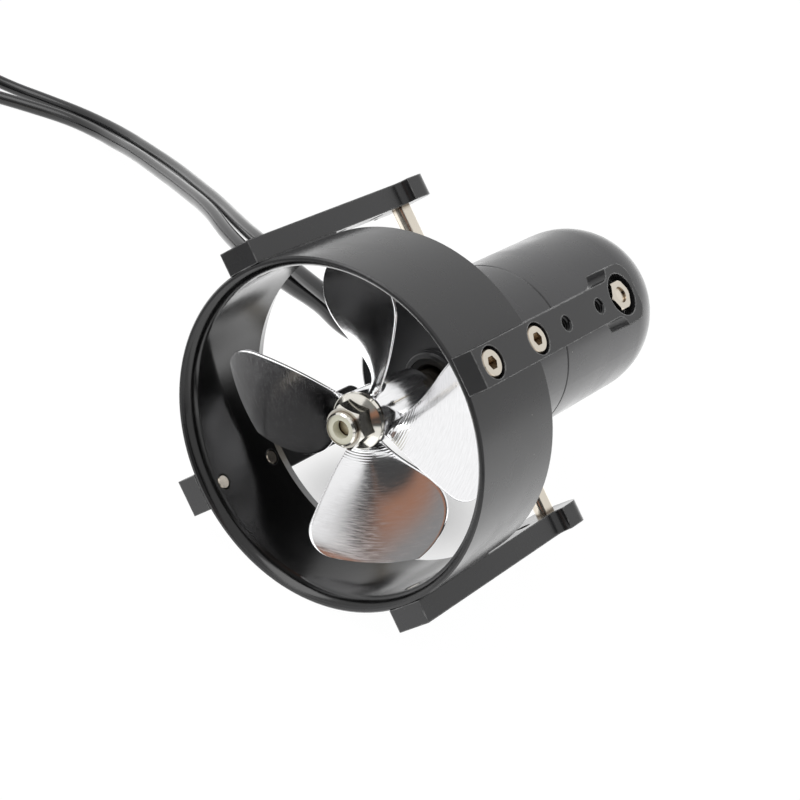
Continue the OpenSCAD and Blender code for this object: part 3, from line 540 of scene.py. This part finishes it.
def anodised_finish(
        name, colour, roughness, line_depth, edge_width, edge_highlight_tone, bore_radius=None):
    """Blasted, black-anodised aluminium with paler edges, partly wear and partly painted highlight,
    and a little dust; a bore is blacker, with painted shade.
    """
    material, tree, shader = start_finish(name, colour, roughness)
    grain = place_group(tree, "Blasted Grain", Grain=5200.0)
    lines = place_group(tree, "Turned Lines", Lines=900.0, Wander=0.6)
    dust = place_group(tree, "Dust Specks", Cells=330.0, Size=0.06, Share=0.25)
    edges = place_group(tree, "Worn and Highlit Edges", Width=edge_width)
    base = toned(tree, grain.outputs["Drift"], colour, darker=0.72, lighter=1.34)
    satin = uneven(tree, grain, roughness, smoother=0.05, rougher=0.06)
    if bore_radius:
        # Painted shade: inside the bore the colour is darkened to a fifth.
        inside = math_node(tree, "LESS_THAN", lines.outputs["Radius"], bore_radius)
        base = mixed(tree, inside, base, shade(colour, BORE_PAINTED_SHADE))
        polish = math_node(tree, "MULTIPLY", inside, BORE_POLISH)
        satin = math_node(tree, "SUBTRACT", satin, polish)
    # Paler edges: partly edge wear, partly a painted highlight along the edges.
    base = mixed(tree, edges.outputs["Edges"], base, (edge_highlight_tone,) * 3)
    base = mixed(tree, dust.outputs["Specks"], base, DUST_TONE)
    feed(tree, shader, base, satin)
    height = math_node(tree, "MULTIPLY", lines.outputs["Bands"], line_depth)
    height = math_node(tree, "ADD", height, grain.outputs["Grain"])
    add_relief(tree, shader, height, depth=0.000004, strength=0.6, edges=edges)
    return material


def steel_finish(name, colour, roughness, lines=700.0, kind="Rings"):
    """Stainless steel with fine turned lines, uneven polish, and painted brown shade in its
    hollows.
    """
    material, tree, shader = start_finish(name, colour, roughness, metallic=1.0)
    grain = place_group(tree, "Blasted Grain", Grain=2600.0)
    turned_lines = place_group(tree, "Turned Lines", Lines=lines, Wander=1.5)
    base = toned(tree, grain.outputs["Drift"], colour, darker=0.86, lighter=1.1)
    # Painted shade: hollows take a dark brown that stands in for shade and warm reflections.
    hollow_shade = place_group(tree, "Painted Hollow Shade", Reach=0.002)
    base = mixed(tree, hollow_shade.outputs["Hollow"], base, PAINTED_HOLLOW_SHADE)
    polish = uneven(tree, grain, roughness, smoother=0.04, rougher=0.06)
    feed(tree, shader, base, polish)
    add_relief(tree, shader, turned_lines.outputs[kind], depth=0.000001, strength=0.6)
    return material


def blade_finish(colour):
    """Bright metal brushed round the shaft, with the mill's scallops at the blades' roots."""
    material, tree, shader = start_finish(
        "Polished Blades", colour, roughness=0.2, metallic=1.0)
    lines = place_group(tree, "Turned Lines", Lines=560.0, Wander=0.8)
    base = toned(tree, lines.outputs["Streaks"], colour, darker=0.9, lighter=1.06)
    polish = ranged(tree, lines.outputs["Streaks"], STREAK_LEVELS, STREAK_ROUGHNESS)
    feed(tree, shader, base, polish)
    scallops = math_node(tree, "MULTIPLY", lines.outputs["Scallops"], SCALLOP_HEIGHT)
    height = math_node(tree, "ADD", lines.outputs["Streaks"], scallops)
    add_relief(tree, shader, height, depth=0.0000006)
    return material


def moulded_finish(name, colour, roughness, grain_scale=3000.0, depth=0.00001, metallic=0.0):
    """Rubber, plastic, resin or plating with a fine grain and a drift of tone."""
    material, tree, shader = start_finish(name, colour, roughness, metallic)
    grain = place_group(tree, "Blasted Grain", Grain=grain_scale)
    base = toned(tree, grain.outputs["Drift"], colour, darker=0.78, lighter=1.2)
    sheen = uneven(tree, grain, roughness, smoother=0.05, rougher=0.07)
    feed(tree, shader, base, sheen)
    add_relief(tree, shader, grain.outputs["Grain"], depth, strength=0.6)
    return material


def plated_finish(name, colour, roughness):
    """A thin metal plating over a slightly coarse ground."""
    return moulded_finish(
        name, colour, roughness, grain_scale=1800.0, depth=0.000008, metallic=1.0)


def banded_finish(name, colour, roughness, lines, depth):
    """Stacked sheets or wound wire: even metal bands along the shaft."""
    material, tree, shader = start_finish(name, colour, roughness, metallic=1.0)
    bands = place_group(tree, "Turned Lines", Lines=lines, Wander=0.1)
    base = toned(tree, bands.outputs["Bands"], colour, darker=0.6, lighter=1.15)
    sheen = ranged(tree, bands.outputs["Bands"], (0.0, 1.0), (roughness + 0.1, roughness))
    feed(tree, shader, base, sheen)
    add_relief(tree, shader, bands.outputs["Bands"], depth, strength=0.8)
    return material


def dress(names, material):
    """Gives CAD nodes a finish."""
    for name in names:
        slots = NODES[name].data.materials
        slots.clear()
        slots.append(material)


class THRUSTER_OT_groups(bpy.types.Operator):
    """Builds the shader groups that the finishes share"""

    bl_idname = "thruster.groups"
    bl_label = "Finish Groups"

    def execute(self, context):
        make_blast_group()
        make_turned_group()
        make_dust_group()
        make_edge_group()
        make_hollow_shade_group()
        return {"FINISHED"}


class THRUSTER_OT_stage(bpy.types.Operator):
    """Sets the camera, the floor, the light and the toned cards that the metal mirrors"""

    bl_idname = "thruster.stage"
    bl_label = "Stage"

    def execute(self, context):
        sizes = context.scene.thruster_stage
        self.make_camera(context, sizes)
        self.make_floor(context, sizes)
        self.make_world(context)
        self.make_lamp(context, "Key_Light", place=(-0.5, -0.4, 1.1), size=0.8, power=5.0)
        self.make_card(
            context, "Room_Card", place=(0.25, -0.9, 0.36), half_size=(0.62, 0.36),
            turn=(90, 0, 16), axis=0,
            tones=((0.15, GREY), (0.23, RED), (0.29, RED), (0.36, DARK)))
        self.make_card(
            context, "Table_Card", place=(0.36, -0.5, 0.0002), half_size=(0.35, 0.4),
            turn=(0, 0, 0), axis=1,
            tones=((-0.85, RED), (-0.45, DARK), (-0.23, DARK), (-0.19, WHITE)))
        self.make_card(
            context, "Front_Card", place=(-0.17, -0.5, 0.0002), half_size=(0.17, 0.4),
            turn=(0, 0, 0), axis=1, tones=((-0.17, PALE), (-0.1, WHITE)))
        context.scene.view_settings.view_transform = "Standard"
        return {"FINISHED"}

    def make_camera(self, context, sizes):
        """The camera of the photo."""
        data = bpy.data.cameras.new("Photo_Camera")
        data.lens = sizes.camera_lens
        data.sensor_width = 36.0
        data.clip_start = 0.01
        camera = bpy.data.objects.new("Photo_Camera", data)
        camera.location = sizes.camera_place
        camera.rotation_euler = sizes.camera_turn
        context.collection.objects.link(camera)
        context.scene.camera = camera

    def add_sheet(self, context, name, bm):
        """Links a flat mesh as part of the stage."""
        mesh = bpy.data.meshes.new(name)
        bm.to_mesh(mesh)
        bm.free()
        sheet = bpy.data.objects.new(name, mesh)
        context.collection.objects.link(sheet)
        return sheet

    def make_floor(self, context, sizes):
        """A pale floor that catches light as paper does and looks white."""
        bm = bmesh.new()
        bmesh.ops.create_grid(bm, x_segments=2, y_segments=2, size=sizes.floor_size)
        bmesh.ops.translate(bm, verts=bm.verts, vec=(0.0, 0.0, -sizes.floor_drop))
        floor = self.add_sheet(context, "Floor", bm)
        material, tree, shader = start_finish("Pale Floor", sizes.floor_colour, roughness=0.9)
        shader.inputs["Specular IOR Level"].default_value = 0.0
        seen = self.seen_mask(tree)
        glow = tree.nodes.new("ShaderNodeEmission")
        path = tree.nodes.new("ShaderNodeLightPath")
        mirrored = path.outputs["Is Glossy Ray"]
        bright = ranged(tree, mirrored, (0.0, 1.0), (SEEN_GLOW, MIRRORED_GLOW))
        link(tree, bright, glow.inputs["Strength"])
        blend = tree.nodes.new("ShaderNodeMixShader")
        # The floor's glow is cut in a round patch under the thruster: a painted shadow.
        link(tree, math_node(tree, "MULTIPLY", seen, self.glow_share_with_painted_shadow(tree)), blend.inputs[0])
        link(tree, shader.outputs[0], blend.inputs[1])
        link(tree, glow.outputs[0], blend.inputs[2])
        link(tree, blend.outputs[0], tree.nodes["Material Output"].inputs["Surface"])
        floor.data.materials.append(material)

    def glow_share_with_painted_shadow(self, tree):
        """How far the floor glows: less in a round patch under the thruster, a painted shadow of
        grey floor where the real shadow also shows.
        """
        reach = tree.nodes.new("ShaderNodeVectorMath")
        reach.operation = "LENGTH"
        link(tree, object_place(tree, PAINTED_SHADOW_SHIFT), reach.inputs[0])
        return ranged(tree, reach.outputs["Value"], PAINTED_SHADOW_FADE, PAINTED_SHADOW_SHARES)

    def seen_mask(self, tree):
        """A mask of what is seen straight, mirrored or through a clear piece."""
        path = tree.nodes.new("ShaderNodeLightPath")
        seen = math_node(
            tree, "MAXIMUM", path.outputs["Is Camera Ray"], path.outputs["Is Glossy Ray"])
        return math_node(tree, "MAXIMUM", seen, path.outputs["Is Transmission Ray"])

    def make_world(self, context):
        """A white room whose light is softer than it looks."""
        world = bpy.data.worlds.new("White_Room")
        world.use_nodes = True
        tree = world.node_tree
        light = tree.nodes["Background"]
        white = tree.nodes.new("ShaderNodeBackground")
        for node, strength in ((light, ROOM_LIGHT), (white, ROOM_WHITE)):
            node.inputs["Color"].default_value = (*WHITE, 1.0)
            node.inputs["Strength"].default_value = strength
        blend = tree.nodes.new("ShaderNodeMixShader")
        link(tree, self.seen_mask(tree), blend.inputs[0])
        link(tree, light.outputs[0], blend.inputs[1])
        link(tree, white.outputs[0], blend.inputs[2])
        link(tree, blend.outputs[0], tree.nodes["World Output"].inputs["Surface"])
        context.scene.world = world

    def make_lamp(self, context, name, place, size, power):
        """A square lamp aimed at the thruster's middle."""
        data = bpy.data.lights.new(name, "AREA")
        data.size = size
        data.energy = power
        lamp = bpy.data.objects.new(name, data)
        lamp.location = place
        aim = Vector((0.0, 0.0, AXIS_Z)) - lamp.location
        lamp.rotation_euler = aim.to_track_quat("-Z", "Y").to_euler()
        context.collection.objects.link(lamp)

    def make_card(self, context, name, place, half_size, turn, axis, tones):
        """A toned card that only mirrors see, as bright metal would see the room in front."""
        bm = bmesh.new()
        bmesh.ops.create_grid(bm, x_segments=1, y_segments=1, size=1.0)
        bmesh.ops.scale(bm, verts=bm.verts, vec=(*half_size, 1.0))
        facing = Euler([math.radians(angle) for angle in turn]).to_matrix()
        bmesh.ops.rotate(bm, verts=bm.verts, cent=(0.0, 0.0, 0.0), matrix=facing)
        bmesh.ops.translate(bm, verts=bm.verts, vec=place)
        card = self.add_sheet(context, name, bm)
        card.visible_camera = False
        card.visible_diffuse = False
        card.visible_shadow = False
        material = bpy.data.materials.new(name)
        material.use_nodes = True
        tree = material.node_tree
        tree.nodes.remove(tree.nodes["Principled BSDF"])
        split = tree.nodes.new("ShaderNodeSeparateXYZ")
        link(tree, object_place(tree), split.inputs[0])
        first = tones[0][0]
        last = tones[-1][0]
        share = ranged(tree, split.outputs[axis], (first, last), (0.0, 1.0))
        ramp = tree.nodes.new("ShaderNodeValToRGB")
        stops = ramp.color_ramp.elements
        stops[0].color = (*tones[0][1], 1.0)
        stops[1].color = (*tones[-1][1], 1.0)
        for level, tone in tones[1:-1]:
            stops.new((level - first) / (last - first)).color = (*tone, 1.0)
        link(tree, share, ramp.inputs[0])
        glow = tree.nodes.new("ShaderNodeEmission")
        link(tree, ramp.outputs[0], glow.inputs[0])
        link(tree, glow.outputs[0], tree.nodes["Material Output"].inputs["Surface"])
        card.data.materials.append(material)


class THRUSTER_OT_leads(bpy.types.Operator):
    """Lays the two leads from the gland to their coil, and dresses what is on them"""

    bl_idname = "thruster.leads"
    bl_label = "Leads"

    def execute(self, context):
        sizes = context.scene.thruster_leads
        jacket = moulded_finish(
            "Lead Jacket", context.scene.thruster_colours.jacket, roughness=0.19,
            grain_scale=2400.0, depth=0.000003)
        ends = [NODES["lead_sleeves"], NODES["lead_bullets"]]
        self.lay_lead(
            "Lead_Upper", sizes, UPPER_ROUTE, sizes.upper_floor, UPPER_TAIL, jacket,
            ("lead_upper", "coil_upper"), ends + [NODES["coil_ties"]])
        self.lay_lead(
            "Lead_Lower", sizes, LOWER_ROUTE, sizes.lower_floor, LOWER_TAIL, jacket,
            ("lead_lower", "coil_lower"), ends)
        dress(["lead_gland"], moulded_finish("Potting", (0.012, 0.012, 0.013), roughness=0.3))
        dress(
            ["coil_ties"],
            moulded_finish("Tie Plastic", (0.016, 0.016, 0.017), roughness=0.45))
        dress(
            ["lead_sleeves"],
            moulded_finish("Shrink Sleeve", (0.02, 0.02, 0.022), roughness=0.55))
        dress(["lead_bullets"], plated_finish("Gold Plate", (0.83, 0.60, 0.23), roughness=0.22))
        return {"FINISHED"}

    def coil_points(self, sizes, floor):
        """The coil's turns: outside, inside, inside one layer up, and outside on the way out."""
        points = []
        step = 360 / COIL_KNOTS
        for index in range(int(COIL_TURNS * COIL_KNOTS) + 1):
            angle = COIL_START + index * step
            inward = self.ease(angle, *COIL_INWARD) - self.ease(angle, *COIL_OUTWARD)
            radius = sizes.coil_outer + (sizes.coil_inner - sizes.coil_outer) * inward
            height = floor + sizes.layer_rise * self.ease(angle, *COIL_UPWARD)
            points.append(Vector((
                sizes.coil_centre[0] + radius * math.cos(math.radians(angle)),
                sizes.coil_centre[1] + radius * math.sin(math.radians(angle)),
                height)))
        return points

    def ease(self, value, start, end):
        """Rises smoothly from 0 at start to 1 at end."""
        share = min(1.0, max(0.0, (value - start) / (end - start)))
        return share * share * (3 - 2 * share)

    def lay_lead(self, name, sizes, route, floor, tail, material, nodes, on_it):
        """One lead as a round curve, in place of its CAD nodes."""
        points = [at(*point) for point in route]
        points += self.coil_points(sizes, floor)
        points += [at(*point) for point in tail]
        curve = bpy.data.curves.new(name, "CURVE")
        curve.dimensions = "3D"
        curve.resolution_u = 5
        curve.bevel_depth = sizes.diameter / 2
        curve.bevel_resolution = 5
        curve.use_fill_caps = True
        spline = curve.splines.new("BEZIER")
        spline.bezier_points.add(len(points) - 1)
        for knot, point in zip(spline.bezier_points, points):
            knot.co = point
            knot.handle_left_type = "AUTO"
            knot.handle_right_type = "AUTO"
        lead = new_piece(name, curve, "housing", material)
        bpy.context.view_layer.update()
        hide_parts(*nodes)


class THRUSTER_OT_propeller(bpy.types.Operator):
    """Models the propeller: a turned hub with four twisted blades"""

    bl_idname = "thruster.propeller"
    bl_label = "Propeller"

    def execute(self, context):
        sizes = context.scene.thruster_propeller
        bm = bmesh.new()
        for index in range(sizes.blades):
            self.add_blade(bm, sizes, sizes.turn + index * FULL_TURN / sizes.blades)
        self.add_hub(bm, sizes)
        mesh = finish_mesh(bm, "Propeller", sharp_angle=40)
        finish = blade_finish(context.scene.thruster_colours.polished)
        propeller = new_piece("Propeller_Bladed", mesh, "rotor", finish)
        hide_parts("propeller")
        return {"FINISHED"}

    def add_blade(self, bm, sizes, turn):
        """Two bent sheets whose rims are bridged and rounded."""
        rims = []
        for side in (-1, 1):
            grid = bmesh.ops.create_grid(
                bm, x_segments=BLADE_ROWS, y_segments=BLADE_COLUMNS, size=1.0)
            sheet = grid["verts"]
            for vert in sheet:
                along = (1 - math.cos(math.pi * (vert.co.x + 1) / 2)) / 2
                across = (vert.co.y + 1) / 2
                vert.co = self.blade_point(sizes, turn, along, across, side)
            inside = set(sheet)
            rims += [
                edge for edge in bm.edges
                if edge.is_boundary and edge.verts[0] in inside and edge.verts[1] in inside]
        bmesh.ops.bridge_loops(bm, edges=rims)
        bmesh.ops.bevel(
            bm, geom=rims, offset=sizes.rim_bevel, segments=2, profile=0.5, affect="EDGES",
            material=-1)

    def blade_point(self, sizes, turn, along, across, side):
        """A point of a blade's front or rear sheet, from its share along and across the blade."""
        span = sizes.tip_radius - sizes.root_radius
        radius = sizes.root_radius + span * along
        pitch = sizes.root_pitch + (sizes.tip_pitch - sizes.root_pitch) * along
        past = max(0.0, radius - sizes.tip_radius + sizes.tip_round)
        inset = sizes.tip_round - math.sqrt(max(0.0, sizes.tip_round ** 2 - past ** 2))
        swept = sizes.front_sweep * (radius - sizes.tip_radius / 2)
        front = swept - sizes.front_edge + inset / radius
        bow = (radius - sizes.bow_middle) / sizes.bow_half
        rear = sizes.rear_reach - sizes.rear_bow * bow ** 2
        angle = front + (rear - front) * across
        middle = sizes.root_thickness + (sizes.tip_thickness - sizes.root_thickness) * along
        arch = 4 * across * (1 - across)
        swell = (middle - sizes.edge_thickness) * arch
        fillet_end = FILLET_REACH * sizes.hub_fillet
        near = max(0.0, 1 - (radius - sizes.hub_rear_radius) / fillet_end)
        flare = sizes.hub_fillet * min(1.0, near) ** 2 * math.sqrt(arch)
        half = (sizes.edge_thickness + swell) / 2 + flare
        slant = math.sqrt(1 + (pitch / (FULL_TURN * radius)) ** 2)
        past_start = max(0.0, (along - sizes.lean_start) / (1 - sizes.lean_start))
        bend = sizes.camber * arch * along - sizes.tip_lean * past_start ** 2
        station = sizes.blade_station + pitch * angle / FULL_TURN + side * half * slant + bend
        return Vector((
            radius * math.cos(angle + turn), FRONT_Y + station,
            AXIS_Z + radius * math.sin(angle + turn)))

    def add_hub(self, bm, sizes):
        """A turned hub, split behind by the slot for the drive pin."""
        edge = sizes.hub_edge
        bend = ROUND_SHARE * edge
        front = sizes.hub_front
        rear = front + sizes.hub_length
        floor = rear - sizes.slot_depth
        straight = STRAIGHT_SHARE * sizes.hub_length
        taper = (sizes.hub_front_radius - sizes.hub_rear_radius) / (sizes.hub_length - straight)
        waist = sizes.hub_rear_radius + taper * sizes.slot_depth
        turned(bm, (
            (sizes.bore_radius, front),
            (sizes.hub_front_radius - edge, front),
            (sizes.hub_front_radius - bend, front + bend),
            (sizes.hub_front_radius, front + edge),
            (sizes.hub_front_radius, front + straight),
            (waist, floor),
            (sizes.bore_radius, floor)))
        across = Vector((-math.sin(sizes.turn), 0.0, math.cos(sizes.turn)))
        for side in (-1, 1):
            cheek = bmesh.new()
            turned(cheek, (
                (sizes.bore_radius, floor),
                (waist, floor),
                (sizes.hub_rear_radius, rear - edge),
                (sizes.hub_rear_radius - bend, rear - bend),
                (sizes.hub_rear_radius - edge, rear),
                (sizes.bore_radius, rear)))
            wall = Vector((0.0, 0.0, AXIS_Z)) + across * side * sizes.slot_width / 2
            cut = bmesh.ops.bisect_plane(
                cheek, geom=cheek.verts[:] + cheek.edges[:] + cheek.faces[:], plane_co=wall,
                plane_no=across * side, clear_inner=True)
            rim = [part for part in cut["geom_cut"] if isinstance(part, bmesh.types.BMEdge)]
            bmesh.ops.holes_fill(cheek, edges=rim)
            half = bpy.data.meshes.new("Hub_Cheek")
            cheek.to_mesh(half)
            cheek.free()
            bm.from_mesh(half)
            bpy.data.meshes.remove(half)


class THRUSTER_OT_threads(bpy.types.Operator):
    """Winds the screw threads that show in the arms' spare holes"""

    bl_idname = "thruster.threads"
    bl_label = "Hole Threads"

    def execute(self, context):
        sizes = context.scene.thruster_fasteners
        bm = bmesh.new()
        for angle in ARM_ANGLES:
            for index in range(sizes.holes):
                station = sizes.first_hole + index * sizes.hole_pitch
                self.add_thread(bm, sizes, angle, station)
        mesh = finish_mesh(bm, "Arm_Hole_Threads", sharp_angle=50)
        colour = context.scene.thruster_colours.anodised
        # Painted shade: the threads deep in the holes take the anodising made darker.
        material = moulded_finish("Thread Anodising Painted Darker", shade(colour, 0.8), roughness=0.3)
        new_piece("Arm_Hole_Threads", mesh, "housing", material)
        return {"FINISHED"}

    def add_thread(self, bm, sizes, angle, station):
        """One ridge wound up a hole, from the arm's inner face to its outer one."""
        outward = Vector((math.cos(math.radians(angle)), 0.0, math.sin(math.radians(angle))))
        middle = Vector((0.0, FRONT_Y + station, AXIS_Z))
        start = middle + outward * (sizes.arm_inner + THREAD_START * sizes.thread_pitch)
        turns = int((sizes.arm_outer - sizes.arm_inner) / sizes.thread_pitch) - 1
        wall = sizes.thread_radius + sizes.thread_sink
        crest = sizes.thread_radius - sizes.thread_depth
        half = sizes.thread_pitch * THREAD_HALF
        flat = sizes.crest_half
        profile = ((wall, -half), (crest, -flat), (crest, flat), (wall, half))
        ring = [bm.verts.new(start + SHAFT_LINE * r + outward * (h + half)) for r, h in profile]
        edges = [bm.edges.new((a, b)) for a, b in zip(ring, ring[1:] + ring[:1])]
        made = bmesh.ops.spin(
            bm, geom=ring + edges, cent=start, axis=outward, angle=FULL_TURN * turns,
            dvec=outward * (sizes.thread_pitch / THREAD_STEPS), steps=THREAD_STEPS * turns)
        last = [edge for edge in made["geom_last"] if isinstance(edge, bmesh.types.BMEdge)]
        bmesh.ops.contextual_create(bm, geom=edges)
        bmesh.ops.contextual_create(bm, geom=last)


class THRUSTER_OT_body(bpy.types.Operator):
    """Dresses the duct ring, the arms and the motor in black anodising"""

    bl_idname = "thruster.body"
    bl_label = "Ring, Arms and Motor"

    def execute(self, context):
        colour = context.scene.thruster_colours.anodised
        # Each edge tone paints a paler line along hard edges, partly wear and partly painted
        # highlight; on the arms it is a bright painted highlight.
        ring = anodised_finish(
            "Anodised Ring", colour, roughness=0.25, line_depth=0.35, edge_width=0.00028,
            edge_highlight_tone=0.05, bore_radius=0.0425)
        arms = anodised_finish(
            "Anodised Arms", colour, roughness=0.25, line_depth=0.0, edge_width=0.00055,
            edge_highlight_tone=0.45)
        # The motor takes the same anodising 2.3 times lighter: partly a coarser blast, partly
        # painted light from the floor below.
        motor = anodised_finish(
            "Anodised Motor Painted Lighter", shade(colour, 2.3), roughness=0.26, line_depth=0.4,
            edge_width=0.00028, edge_highlight_tone=0.1)
        dress(["duct_ring"], ring)
        dress(["arm_upper_right", "arm_upper_left", "arm_lower_left", "arm_lower_right"], arms)
        dress(["front_housing", "rear_can"], motor)
        return {"FINISHED"}


class THRUSTER_OT_fasteners(bpy.types.Operator):
    """Dresses the screws, studs, nuts, washer and shaft"""

    bl_idname = "thruster.fasteners"
    bl_label = "Fasteners and Shaft"

    def execute(self, context):
        colours = context.scene.thruster_colours
        steel = steel_finish("Stainless Steel", colours.stainless, roughness=0.2)
        bright = steel_finish(
            "Turned Shaft Steel", shade(colours.stainless, 1.1), roughness=0.18, lines=900.0,
            kind="Bands")
        nut = steel_finish("Nut Steel", (0.76, 0.74, 0.68), roughness=0.12)
        dress(["ring_screws", "stud_nuts", "prop_washer"], steel)
        dress(["prop_nut"], nut)
        dress(["arm_studs", "shaft", "drive_pin"], bright)
        dress(["nut_insert"], moulded_finish("Locking Nylon", colours.nylon, roughness=0.5))
        return {"FINISHED"}


class THRUSTER_OT_inner_works(bpy.types.Operator):
    """Dresses the sealed inner works: bearings, seals, stator and rotor"""

    bl_idname = "thruster.inner_works"
    bl_label = "Inner Works"

    def execute(self, context):
        dress(
            ["rear_bearing_plate"],
            steel_finish("Bare Aluminium", (0.72, 0.73, 0.75), roughness=0.32))
        dress(
            ["housing_o_ring", "shaft_seal"],
            moulded_finish("Seal Rubber", (0.015, 0.015, 0.015), roughness=0.6))
        dress(
            ["front_outer_race", "front_inner_race", "front_balls", "rear_outer_race",
             "rear_inner_race", "rear_balls", "wave_washer", "bearing_clip"],
            steel_finish("Bearing Steel", (0.68, 0.68, 0.70), roughness=0.14))
        dress(
            ["stator_core", "rotor_core"],
            banded_finish(
                "Core Iron", (0.22, 0.22, 0.23), roughness=0.45, lines=900.0, depth=0.00005))
        dress(
            ["stator_windings"],
            banded_finish(
                "Copper Wire", (0.62, 0.26, 0.10), roughness=0.3, lines=620.0, depth=0.00015))
        dress(
            ["rotor_magnets"],
            plated_finish("Plated Magnet", (0.42, 0.42, 0.43), roughness=0.28))
        return {"FINISHED"}


class THRUSTER_PT_panel(bpy.types.Panel):
    """Lists the thruster's pieces and their sizes"""

    bl_idname = "THRUSTER_PT_panel"
    bl_label = "Underwater Thruster"
    bl_space_type = "VIEW_3D"
    bl_region_type = "UI"
    bl_category = "Thruster"

    def draw(self, context):
        for operator in OPERATORS:
            self.layout.operator(operator.bl_idname)
        for label, kind in SETTINGS.items():
            settings = getattr(context.scene, label)
            box = self.layout.box()
            for name in kind.__annotations__:
                box.prop(settings, name)


SETTINGS = {
    "thruster_stage": StageSizes,
    "thruster_leads": LeadSizes,
    "thruster_propeller": PropellerSizes,
    "thruster_fasteners": FastenerSizes,
    "thruster_colours": FinishColours,
}
OPERATORS = (
    THRUSTER_OT_groups,
    THRUSTER_OT_stage,
    THRUSTER_OT_leads,
    THRUSTER_OT_propeller,
    THRUSTER_OT_threads,
    THRUSTER_OT_body,
    THRUSTER_OT_fasteners,
    THRUSTER_OT_inner_works,
)


def register():
    """Adds the settings, the operators and the panel."""
    for kind in (*SETTINGS.values(), *OPERATORS, THRUSTER_PT_panel):
        bpy.utils.register_class(kind)
    for label, kind in SETTINGS.items():
        setattr(bpy.types.Scene, label, PointerProperty(type=kind))


def unregister():
    """Takes them away again."""
    for label in SETTINGS:
        delattr(bpy.types.Scene, label)
    for kind in (THRUSTER_PT_panel, *reversed(OPERATORS), *SETTINGS.values()):
        bpy.utils.unregister_class(kind)


def main():
    """Builds everything."""
    register()
    bpy.ops.thruster.groups()
    bpy.ops.thruster.stage()
    bpy.ops.thruster.leads()
    bpy.ops.thruster.propeller()
    bpy.ops.thruster.threads()
    bpy.ops.thruster.body()
    bpy.ops.thruster.fasteners()
    bpy.ops.thruster.inner_works()


if __name__ == "__main__":
    main()
